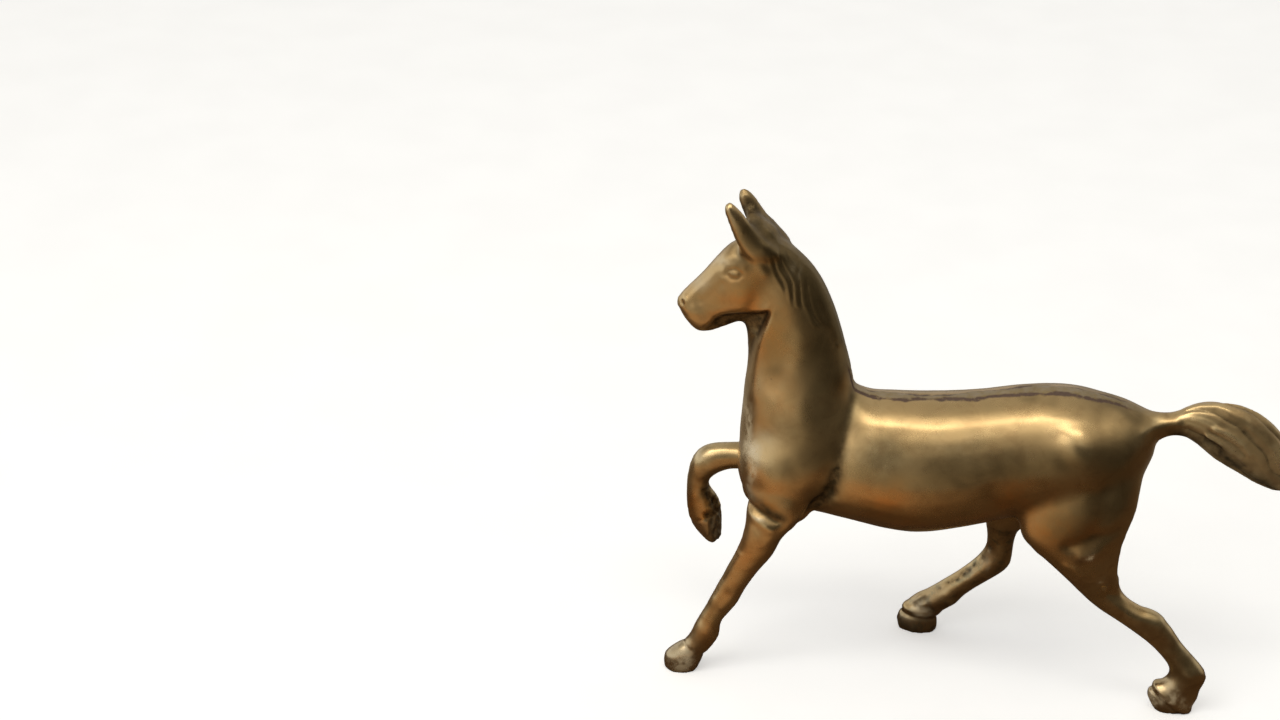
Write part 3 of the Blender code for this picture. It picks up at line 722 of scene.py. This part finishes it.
def shadows(places):
    """How much of a vertex lies in the painted shadows of the creases."""
    total = np.zeros(len(places))
    for line, width, strength, side in SHADOWS:
        distance = along_line(places[:, [0, 2]], line)[0]
        share = strength * fade(distance, width) * side_of(places, side)
        total = np.maximum(total, share)
    return total


def raised_sole_share(places, normals):
    """How much of a vertex is the rough, sunken sole of the raised forefoot."""
    facing, low, high = RAISED_SOLE
    turned = ease((normals @ np.array(facing) - 0.5) / 0.25)
    return turned * inside(places, low, high)


def pit_heights(places):
    """The pits' depth, and how much of a vertex is pit."""
    height = np.zeros(len(places))
    share = np.zeros(len(places))
    for *middle, depth, reach in PITS:
        height -= depth * blob(places, middle, reach)
        share = np.maximum(share, blob(places, middle, reach, 4))
    return height, share


def braze_heights(places):
    """How much of a vertex is braze bead, its rough rim, and painted shade line along the crest."""
    sideways, place = braze_distance(places)
    width = BRAZE_HALF_WIDTH + 0.45 * ripple(places, 7.0, 11) + 0.2 * ripple(places, 2.6, 12)
    for x, reach, more in BRAZE_WIDENING:
        width = width + more * fade(places[:, 0] - x, reach)
    bead = ease((width - sideways) / 0.7 + 0.5)
    # The rim is strong in stretches, and more on the near side
    strong = ease(0.6 + 0.5 * ripple(places, 14.0, 13) + 0.7 * ease(-places[:, 1] / 3.0) - 0.3)
    on_back = ease((place - BRAZE_START) / BRAZE_FADE) * ease((1.0 - place) / BRAZE_FADE)
    strong *= on_back
    rim = fade(sideways - width, 0.8 + 0.6 * strong) * (0.5 + 0.5 * strong) * on_back
    # a painted shade line along the crest, ahead of the braze
    crest_shade_line = (place < 0.5) * (1.0 - on_back) * fade(sideways, CREST_LINE_WIDTH)
    crest_shade_line = crest_shade_line * ease((CREST_LINE_TOP_Z - places[:, 2]) / 10)
    return bead * (0.3 + 0.7 * on_back), rim, crest_shade_line


def add_value(mesh, name, values):
    """Store a value from 0 to 1 on each vertex, for the materials."""
    attribute = mesh.attributes.new(name, "FLOAT", "POINT")
    attribute.data.foreach_set("value", np.clip(values, 0, 1).astype(np.float32))


def melt_joins(clay):
    """Let the castings' broad forms run into one another on the flanks."""
    for x, z, reach in SOFT_PLACES:
        gap = np.hypot(clay.places[:, 0] - x, clay.places[:, 2] - z)
        flank = ease((np.abs(clay.places[:, 1]) - 2.0) / 5.0)
        clay.relax(SOFT_ROUNDS, flank * fade(gap, reach, 4))


def melt_lumps(clay):
    """Melt the lumps between the ears; gives how much of a vertex lies in their fork."""
    fork = np.zeros(clay.count)
    for *middle, radius in LUMPS:
        fork = np.maximum(fork, blob(clay.places, middle, radius + 2.5, 4))
        clay.relax(LUMP_ROUNDS, blob(clay.places, middle, radius + 2.0, 6))
    return fork


def flatten_soles(clay, bare):
    """Put the standing hooves' soles flat on the ground."""
    heights = clay.places[:, 2]
    sole = (bare[:, 2] < 0.4) & (heights < 1.2)
    heights[sole] = 0.0
    clay.places[:, 2] = np.maximum(heights, 0.0)


def relief_of(clay):
    """How far each vertex stands out of its surroundings."""
    normals = clay.normals()
    smooth = clay.places.copy()
    for _ in range(RELIEF_ROUNDS):
        smooth += 0.5 * (clay.around(smooth) - smooth)
    return ((clay.places - smooth) * normals).sum(1)


def model_skin():
    """The finished skin with its colouring values: one closed mesh of the whole horse."""
    clay = Clay(closed_skin())
    clay.soften(FIRST_SMOOTHING)
    clay.write()
    refine(clay)
    clay.soften(SECOND_SMOOTHING)
    melt_joins(clay)
    fork = melt_lumps(clay)
    bare = clay.places.copy()

    clay.raise_by(stroke_heights(bare) + knob_heights(bare))
    clay.places, tucked = tuck_in(clay.places)
    clay.relax(2)
    raised_sole = raised_sole_share(clay.places, clay.normals())
    mane, mane_zone, mane_valley = mane_heights(bare)
    tail, tail_valley, tail_crest = tail_heights(bare)
    hoof, wall = hoof_heights(bare)
    bead, rim, crest_shade_line = braze_heights(bare)
    pits, pitted = pit_heights(bare)
    height = 0.07 * ripple(bare, 24.0, 3) + 0.012 * ripple(bare, 8.0, 4)
    height = height + mane + tail + hoof + pits
    height -= raised_sole * (0.8 + 0.35 * ripple(bare, 4.0, 31))
    height += BRAZE_LIFT * bead - BRAZE_RIM_DEPTH * rim
    height += BRAZE_ROUGHNESS * bead * ripple(bare, 2.6, 5)
    clay.raise_by(height)
    clay.relax(1)
    flatten_soles(clay, bare)

    relief = relief_of(clay)
    # Dark patina and painted shade: in the hollows, between the locks and strands, on the raised
    # sole, under the jaw and throat, in the pits, in the fork between the ears, in the painted
    # shadows of the creases and on the off side
    patina_and_shade = np.clip(-(relief + 0.05) * RELIEF_SHADE, 0, 1)
    patina_and_shade += MANE_SHADE * mane_valley + STRAND_SHADE * tail_valley + SOLE_SHADE * raised_sole
    patina_and_shade += TUCK_SHADE * tucked + PIT_SHADE * pitted + FORK_SHADE * fork
    patina_and_shade += shadows(bare) + ease(bare[:, 1] / 6.0) * patches(bare, OFF_SIDE_SHADE_PATCHES)
    # Wear and painted highlights: the raised edges, painted highlights on the tail's crests, and the
    # bright patches
    edge = np.clip(relief - 0.12, 0, 1) * EDGE_SHINE + STRAND_SHINE * tail_crest
    edge += patches(bare, PAINTED_HIGHLIGHT_PATCHES)
    on_tail = bare[:, 2] > TAIL_BOTTOM_Z
    values = {
        "patina_and_shade": patina_and_shade,
        "edge": edge,
        "tarnish": ease((bare[:, 0] - TARNISH_START_X) / TARNISH_REACH) * on_tail,
        "bead": bead,
        "rim": rim,
        # the mane darker: dark patina and painted shade
        "hair": mane_zone,
        "wall": wall,
        "warm_reflection": patches(bare, PAINTED_REFLECTION_PATCHES),
        # dull patina and painted shade, with the painted shade line along the crest
        "dull_and_shade": np.maximum(patches(bare, DULL_AND_SHADE_PATCHES), crest_shade_line),
        # painted sheen and highlights
        "pale": patches(bare, PAINTED_SHEEN_PATCHES),
    }
    for name, share in values.items():
        add_value(clay.mesh, name, share)
    return clay.mesh


# ---- cutting into castings

CASTING_LAYER = "casting"


def cap_holes(bm):
    """Close every open loop with a flat cap whose rim is sharp."""
    rims = [e for e in bm.edges if e.is_boundary]
    made = bmesh.ops.holes_fill(bm, edges=rims, sides=0)["faces"]
    for edge in rims:
        edge.smooth = False
    bmesh.ops.triangulate(bm, faces=made)


def middle_within(face, low, high):
    """Is the middle of a face inside a box?"""
    middle = face.calc_center_median()
    return all(low[i] <= middle[i] <= high[i] for i in range(3))


def cut_joint(bm, number, low, high, axis, plane, body_side):
    """Cut the skin at a casting's joint and give the casting's faces its number."""
    layer = bm.faces.layers.int[CASTING_LAYER]
    low = metres(low)
    high = metres(high)
    point = [0.0, 0.0, 0.0]
    point[axis] = plane
    cut = metres(point)
    normal = Vector((0, 0, 0))
    normal[axis] = -body_side
    faces = [f for f in bm.faces if middle_within(f, low, high)]
    edges = list(dict.fromkeys(e for f in faces for e in f.edges))
    verts = list(dict.fromkeys(v for f in faces for v in f.verts))
    bmesh.ops.bisect_plane(bm, geom=faces + edges + verts, plane_co=cut, plane_no=normal,
                           dist=CUT_DISTANCE)
    for face in bm.faces:
        past_joint = (face.calc_center_median()[axis] - cut[axis]) * body_side < 0
        if past_joint and middle_within(face, low, high):
            face[layer] = number


def cut_castings(mesh):
    """Cut the whole skin at the joints and the seam. Gives {name: mesh}."""
    bm = bmesh.new()
    bm.from_mesh(mesh)
    bm.faces.layers.int.new(CASTING_LAYER)
    for number, joint in enumerate(CASTINGS.values(), 1):
        cut_joint(bm, number, *joint)
    pieces = {}
    for number, name in enumerate(CASTINGS, 1):
        pieces[name] = take_casting(bm, number, name)
    body = take_casting(bm, 0, "body")
    bm.free()
    for name, side in BODY_HALVES.items():
        pieces[name] = take_half(body, side, name)
    bpy.data.meshes.remove(body)
    return pieces


def take_casting(bm, number, name):
    """The faces that carry one number, closed at the joint. The body's number is 0."""
    own = bm.copy()
    layer = own.faces.layers.int[CASTING_LAYER]
    others = [f for f in own.faces if f[layer] != number]
    bmesh.ops.delete(own, geom=others, context="FACES")
    cap_holes(own)
    return to_mesh(own, name)


def take_half(body, side, name):
    """One side of the body, closed at the seam."""
    own = bmesh.new()
    own.from_mesh(body)
    geometry = own.verts[:] + own.edges[:] + own.faces[:]
    cut = metres((0, side * SEAM_GAP / 2, 0))
    bmesh.ops.bisect_plane(own, geom=geometry, plane_co=cut, plane_no=(0, -side, 0),
                           dist=CUT_DISTANCE, clear_outer=True)
    cap_holes(own)
    return to_mesh(own, name)


def to_mesh(bm, name):
    """A smooth-shaded mesh, with its normals out."""
    mesh = bpy.data.meshes.new(name + "_skin")
    bmesh.ops.recalc_face_normals(bm, faces=bm.faces)
    for face in bm.faces:
        face.smooth = True
    bm.to_mesh(mesh)
    bm.free()
    return mesh


# ---- materials

class Graph:
    """The nodes of a material or of the world, made and joined by short calls."""

    def __init__(self, owner):
        owner.use_nodes = True
        self.tree = owner.node_tree
        self.tree.nodes.clear()

    def node(self, kind, inputs=(), **settings):
        """A shader node with its settings; each input is a value or a node's output."""
        made = self.tree.nodes.new("ShaderNode" + kind)
        for key, value in settings.items():
            setattr(made, key, value)
        for key, value in dict(inputs).items():
            self.put(made.inputs[key], value)
        return made

    def put(self, socket, value):
        if isinstance(value, bpy.types.NodeSocket):
            self.tree.links.new(value, socket)
        elif isinstance(value, tuple) and len(value) == 3 and socket.type == "RGBA":
            socket.default_value = (*value, 1.0)
        else:
            socket.default_value = value

    def math(self, operation, a, b=0.0, clamp=False):
        made = self.node("Math", {0: a, 1: b}, operation=operation, use_clamp=clamp)
        return made.outputs[0]

    def times(self, a, b):
        return self.math("MULTIPLY", a, b)

    def plus(self, a, b):
        return self.math("ADD", a, b)

    def span(self, value, low, high, to_low=0.0, to_high=1.0):
        """value's range low..high mapped smoothly to to_low..to_high."""
        inputs = {"Value": value, "From Min": low, "From Max": high,
                  "To Min": to_low, "To Max": to_high}
        made = self.node("MapRange", inputs, interpolation_type="SMOOTHSTEP")
        return made.outputs["Result"]

    def mix(self, share, first, second):
        """Two colours mixed: the first at a share of 0, the second at 1."""
        made = self.node("Mix", data_type="RGBA")
        self.put(made.inputs[0], share)
        self.put(made.inputs[6], first)
        self.put(made.inputs[7], second)
        return made.outputs[2]

    def surface(self, inputs):
        """The material's surface."""
        shader = self.node("BsdfPrincipled", inputs)
        self.node("OutputMaterial", {"Surface": shader.outputs[0]})

    def value(self, name):
        """A value that is stored on the vertices."""
        return self.node("Attribute", attribute_name=name).outputs["Fac"]

    def millimetres(self, stretch=(1.0, 1.0, 1.0)):
        """Object coordinates in millimetres, each axis divided by its stretch."""
        place = self.node("TexCoord").outputs["Object"]
        scale = tuple(1.0 / (MM * part) for part in stretch)
        made = self.node("VectorMath", {0: place, 1: scale}, operation="MULTIPLY")
        return made.outputs[0]

    def noise(self, size, detail=3.0, rough=0.55, stretch=(1.0, 1.0, 1.0), twist=0.0):
        """Clouds of a size in millimetres."""
        inputs = {"Vector": self.millimetres(stretch), "Scale": 1.0 / size, "Detail": detail,
                  "Roughness": rough, "Distortion": twist}
        return self.node("TexNoise", inputs).outputs["Fac"]

    def specks(self, size, radius):
        """Sparse round specks: 1 in the middle of each, 0 outside its radius."""
        inputs = {"Vector": self.millimetres(), "Scale": 1.0 / size}
        made = self.node("TexVoronoi", inputs)
        return self.span(made.outputs["Distance"], radius / size, 0.0)


# The metal's colours, from bare brass to the dark patina and painted shade in its hollows
BRASS = (0.63, 0.43, 0.2)
PALE_BRASS = (0.8, 0.62, 0.33)
OLIVE = (0.34, 0.25, 0.12)
BROWN = (0.3, 0.165, 0.07)
# painted reflections of the warm floor
WARM_REFLECTION_BROWN = (0.64, 0.35, 0.12)
ORANGE_REFLECTION_BROWN = (0.74, 0.35, 0.1)
DARK_OLIVE = (0.13, 0.093, 0.042)
DARK = (0.05, 0.036, 0.018)
WALL = (0.4, 0.33, 0.22)
# for painted sheen and highlights
PALE = (0.66, 0.53, 0.34)
BEAD = (0.42, 0.34, 0.23)
BURNT = (0.14, 0.088, 0.062)
GREEN = (0.11, 0.14, 0.1)

# How strongly each layer shows in the metal
BUMP_STRENGTH = 0.055
BUMP_HEIGHT = 0.1
TARNISH = 0.25


class Marks:
    """Noises and stored values that several layers of the brass share."""

    def __init__(self, g):
        self.fine = g.noise(1.6, 3.0, 0.6)
        self.spots = g.times(g.specks(9.0, 0.7), g.span(g.noise(12.0), 0.56, 0.66))
        # dark patina and painted shade in the hollows
        self.patina_and_shade = g.times(g.value("patina_and_shade"), g.span(g.noise(3.0), 0.2, 0.7, 0.6, 1.0))
        # painted sheen and highlights
        self.pale = g.times(g.value("pale"), g.span(g.noise(3.0), 0.3, 0.6, 0.6, 1.0))
        self.rim = g.times(g.value("rim"), g.span(g.noise(2.4, 4.0, 0.7), 0.3, 0.55, 0.5, 1.0))
        self.bead = g.value("bead")


def patina_colour(g, marks, patina, brown, green):
    """Brass under clouds of olive and brown, with painted reflections of the orange-brown floor,
    dark patina and painted shade, specks and green.
    """
    clouds = g.span(g.noise(30.0, 3.0, 0.5, twist=0.4), 0.36, 0.7)
    blotches = g.span(g.noise(9.0, 4.0, 0.6, twist=0.8), 0.46, 0.7)
    # painted reflection of the warm floor
    warm_reflection = g.mix(g.span(g.noise(7.0), 0.35, 0.65), WARM_REFLECTION_BROWN, ORANGE_REFLECTION_BROWN)
    colour = g.mix(g.times(clouds, patina), BRASS, OLIVE)
    colour = g.mix(g.times(blotches, brown), colour, BROWN)
    colour = g.mix(g.value("warm_reflection"), colour, warm_reflection)
    # dull patina and painted shade
    colour = g.mix(g.times(g.value("dull_and_shade"), 0.85), colour, DARK_OLIVE)
    colour = g.mix(g.span(marks.fine, 0.55, 0.8, 0.0, 0.14), colour, OLIVE)
    colour = g.mix(g.times(marks.spots, 0.7), colour, BURNT)
    if green:
        verdigris = g.times(g.span(g.noise(6.0, 4.0, 0.65), 0.5, 0.66), green)
        colour = g.mix(verdigris, colour, GREEN)
    return colour


def colour_with_wear_and_painted_light(g, marks, colour, dark):
    """The colour with dark patina and painted shade in the hollows, wear and painted highlights on
    the edges, hoof walls, painted sheen, the mane's dark patina and painted shade, and braze.
    """
    # dark patina and painted shade in the hollows
    colour = g.mix(g.times(marks.patina_and_shade, 0.95), colour, DARK)
    # wear on the edges, with painted highlights
    wear_and_highlight = g.times(g.value("edge"), g.span(g.noise(4.0), 0.3, 0.7, 0.3, 1.0))
    colour = g.mix(g.math("MULTIPLY", wear_and_highlight, 0.7, clamp=True), colour, PALE_BRASS)
    colour = g.mix(g.times(g.value("wall"), 0.4), colour, WALL)
    # painted sheen and highlights
    colour = g.mix(marks.pale, colour, PALE)
    # the mane darker: dark patina and painted shade
    colour = g.mix(g.times(g.value("hair"), 0.55), colour, DARK_OLIVE)
    colour = g.mix(dark, colour, DARK)
    bead_colour = g.mix(g.span(g.noise(3.5, 4.0, 0.7), 0.35, 0.7), BEAD, OLIVE)
    colour = g.mix(g.times(marks.bead, 0.75), colour, bead_colour)
    return g.mix(g.span(marks.rim, 0.1, 0.8), colour, BURNT)


def brass_roughness(g, marks, roughness):
    """Polish in clouds, lost in the hollows, on the braze and in the places of dark patina and
    painted shade.
    """
    clouds = g.span(g.noise(20.0, 3.0, 0.5), 0.3, 0.7, roughness - 0.03, roughness + 0.05)
    rough = g.plus(clouds, g.span(marks.fine, 0.4, 0.75, 0.0, 0.03))
    rough = g.plus(rough, g.times(marks.patina_and_shade, 0.25))
    rough = g.plus(rough, g.times(marks.bead, 0.12))
    rough = g.plus(rough, g.times(g.value("dull_and_shade"), 0.14))
    return g.math("ADD", rough, g.times(marks.rim, 0.3), clamp=True)


def brass_relief(g, marks):
    """Scratches two ways, a slight waviness, grain on the braze and in the hollows, specks."""
    scratches = g.noise(0.9, 2.0, 0.5, stretch=(9.0, 9.0, 0.8))
    crossed = g.noise(0.8, 2.0, 0.5, stretch=(0.9, 7.0, 9.0))
    relief = g.plus(g.times(scratches, 0.25), g.times(crossed, 0.2))
    relief = g.plus(relief, g.times(g.noise(3.2, 3.0, 0.6), 0.35))
    grainy = g.plus(g.math("MAXIMUM", marks.bead, marks.patina_and_shade), 0.25)
    relief = g.plus(relief, g.times(g.times(marks.fine, 0.9), grainy))
    return g.math("SUBTRACT", relief, g.times(marks.spots, 0.8))


def brass(name, patina=0.5, brown=0.4, green=0.0, roughness=0.3, dark=0.0):
    """Aged brass; patina, brown, green and dark are how much of each colour it has."""
    material = bpy.data.materials.new(name)
    g = Graph(material)
    marks = Marks(g)
    colour = patina_colour(g, marks, patina, brown, green)
    metallic = g.span(g.math("MAXIMUM", marks.rim, marks.pale), 0.3, 1.0, 1.0, 0.45)
    metallic = g.math("SUBTRACT", metallic, g.times(g.value("tarnish"), TARNISH))
    relief = {"Height": brass_relief(g, marks), "Strength": BUMP_STRENGTH,
              "Distance": BUMP_HEIGHT * MM}
    bump = g.node("Bump", relief)
    g.surface({"Base Color": colour_with_wear_and_painted_light(g, marks, colour, dark),
               "Roughness": brass_roughness(g, marks, roughness),
               "Metallic": metallic, "Normal": bump.outputs[0]})
    return material


# ---- pieces

def build_pieces():
    """Put the modelled castings in their nodes' places, and brass on the pins and the plug."""
    body = brass("body_brass", patina=0.35, brown=0.25, roughness=0.26)
    legs = brass("leg_brass", patina=0.5, brown=0.4, roughness=0.26)
    off_legs = brass("off_leg_brass", patina=0.6, brown=0.5, green=0.6, roughness=0.3, dark=0.05)
    tail = brass("tail_brass", patina=0.3, brown=0.45, roughness=0.28)
    pins = brass("pin_brass", patina=0.3, brown=0.3, roughness=0.3)
    finishes = {
        "left_body_half": (body, "body_brass"), "right_body_half": (body, "body_brass"),
        "left_foreleg": (legs, "leg_brass"), "left_hindleg": (legs, "leg_brass"),
        "right_foreleg": (legs, "leg_brass"), "right_hindleg": (off_legs, "leg_brass"),
        "tail": (tail, "tail_brass"),
    }
    skin = model_skin()
    for name, mesh in cut_castings(skin).items():
        obj = add_object(name + "_casting", mesh)
        material, slot = finishes[name]
        mesh.materials.append(material)
        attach(obj, "root")
        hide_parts(name)
    bpy.data.meshes.remove(skin)
    for name, obj in frame["nodes"].items():
        if name not in finishes:
            obj.data.materials.clear()
            obj.data.materials.append(pins)


# ---- studio

# What the camera sees
SEEN_FLOOR = (0.88, 0.88, 0.88)
SEEN_FLOOR_PALER = (0.9, 0.9, 0.9)
BACKDROP = (0.9, 0.9, 0.9)
FLOOR_GLOW = 0.45
# What only the brass mirrors: the floor near the statue, in front of it and behind it, with painted
# light and painted shadow on it
NEAR_PAINTED_SHADOW = (0.12, 0.077, 0.046)
NEAR_PAINTED_LIGHT = (0.66, 0.45, 0.29)
FRONT_PAINTED_SHADOW = (0.08, 0.072, 0.058)
FRONT_PAINTED_LIGHT = (0.52, 0.49, 0.43)
BEHIND = (0.42, 0.4, 0.36)
# and the room
ROOM_DARK = (0.07, 0.065, 0.055)
CEILING = (0.7, 0.67, 0.6)
REAR_WALL = (0.55, 0.55, 0.55)
REAR_CEILING = (0.3, 0.29, 0.26)
LEFT_WALL = (0.62, 0.59, 0.53)
WINDOW = (0.95, 1.0, 1.05)

# The camera: its place in metres in the tables' coordinates, its turn and tilt, and its lens
CAMERA_PLACE = (0.0, -0.8851, 0.5896)
CAMERA_YAW = -9.02
CAMERA_PITCH = -26.18
SENSOR_WIDTH = 36.0
FOCAL_LENGTH = 61.875


def studio_floor():
    """A plain pale floor for the camera, and a warmer, patchy one for the brass to mirror, with
    painted light and painted shadow on it.
    """
    bpy.ops.mesh.primitive_plane_add(size=8.0)
    obj = bpy.context.object
    obj.name = "studio_floor"
    material = bpy.data.materials.new("studio_floor")
    g = Graph(material)
    path = g.node("LightPath")
    place = g.node("TexCoord").outputs["Object"]
    axes = g.node("SeparateXYZ", {0: place}).outputs
    seen = g.mix(g.span(g.noise(60.0, 3.0), 0.3, 0.7), SEEN_FLOOR, SEEN_FLOOR_PALER)
    # Painted light at the front left, painted shadow under the statue and to its right
    lit = g.times(g.span(axes["X"], 0.06, -0.12), g.span(axes["Y"], -0.05, -0.14))
    near = g.mix(lit, NEAR_PAINTED_SHADOW, NEAR_PAINTED_LIGHT)
    front = g.mix(g.span(axes["X"], 0.2, -0.26), FRONT_PAINTED_SHADOW, FRONT_PAINTED_LIGHT)
    mirrored = g.mix(g.span(axes["Y"], -0.18, -0.3), near, front)
    mirrored = g.mix(g.span(axes["Y"], 0.04, 0.3), mirrored, BEHIND)
    g.surface({"Base Color": g.mix(path.outputs["Is Glossy Ray"], seen, mirrored),
               "Roughness": 0.9, "Specular IOR Level": 0.1, "Emission Color": seen,
               "Emission Strength": g.times(path.outputs["Is Camera Ray"], FLOOR_GLOW)})
    obj.data.materials.append(material)


def world():
    """A soft room: pale behind, dark in front but lit on the left, where it has a window."""
    made = bpy.data.worlds.new("studio")
    bpy.context.scene.world = made
    g = Graph(made)
    direction = g.node("TexCoord").outputs["Generated"]
    axes = g.node("SeparateXYZ", {0: direction}).outputs
    up = axes["Z"]
    left = g.times(axes["X"], -1.0)
    front = g.mix(g.span(up, 0.3, 0.95), ROOM_DARK, CEILING)
    rear = g.mix(g.span(up, 0.1, 0.9), REAR_WALL, REAR_CEILING)
    lit_front = g.mix(g.span(up, 0.0, 0.9), LEFT_WALL, CEILING)
    front = g.mix(g.span(left, 0.0, 0.44), front, lit_front)
    room = g.mix(g.span(axes["Y"], -0.2, 0.35), front, rear)
    window = g.times(g.span(left, 0.45, 0.9), g.span(g.math("ABSOLUTE", up), 0.6, 0.1))
    room = g.mix(window, room, WINDOW)
    path = g.node("LightPath")
    colour = g.mix(path.outputs["Is Camera Ray"], room, BACKDROP)
    background = g.node("Background", {"Color": colour, "Strength": 1.0})
    g.node("OutputWorld", {"Surface": background.outputs[0]})


def area_light(name, place, target, width, length, power, colour=(1.0, 1.0, 1.0), turn=0.0):
    """A rectangular light at a place, facing a target, turned about its own axis."""
    data = bpy.data.lights.new(name, "AREA")
    data.shape = "RECTANGLE"
    data.size = width
    data.size_y = length
    data.energy = power
    data.color = colour
    obj = add_object(name, data)
    obj.location = place
    obj.rotation_euler = (Vector(target) - Vector(place)).to_track_quat("-Z", "Y").to_euler()
    obj.rotation_euler.rotate_axis("Z", turn)


def lights():
    """A strip overhead makes the long highlight on the barrel; two broad ones fill."""
    area_light("overhead_strip", (-0.17, -0.36, 1.08), (0.0, 0.0, 0.12), width=1.2, length=0.24,
               power=2.5, colour=(1.0, 0.97, 0.9), turn=0.5)
    area_light("broad_top", (0.0, 0.9, 1.6), (0.0, 0.0, 0.1), width=2.2, length=1.6, power=2.4)
    area_light("soft_front", (-1.2, -1.2, 1.5), (0.0, 0.0, 0.05), width=1.2, length=1.2, power=6.0)


def camera():
    """The photo's viewpoint."""
    yaw = math.radians(CAMERA_YAW)
    pitch = math.radians(CAMERA_PITCH)
    data = bpy.data.cameras.new("camera")
    data.sensor_width = SENSOR_WIDTH
    data.lens = FOCAL_LENGTH
    obj = add_object("camera", data)
    obj.location = Vector(CAMERA_PLACE) - Vector(BASE_CENTRE * MM)
    level = math.cos(pitch)
    forward = Vector((math.sin(yaw) * level, math.cos(yaw) * level, math.sin(pitch)))
    obj.rotation_euler = forward.to_track_quat("-Z", "Y").to_euler()
    bpy.context.scene.camera = obj


bpy.context.scene.view_settings.view_transform = "Standard"
build_pieces()
studio_floor()
world()
lights()
camera()
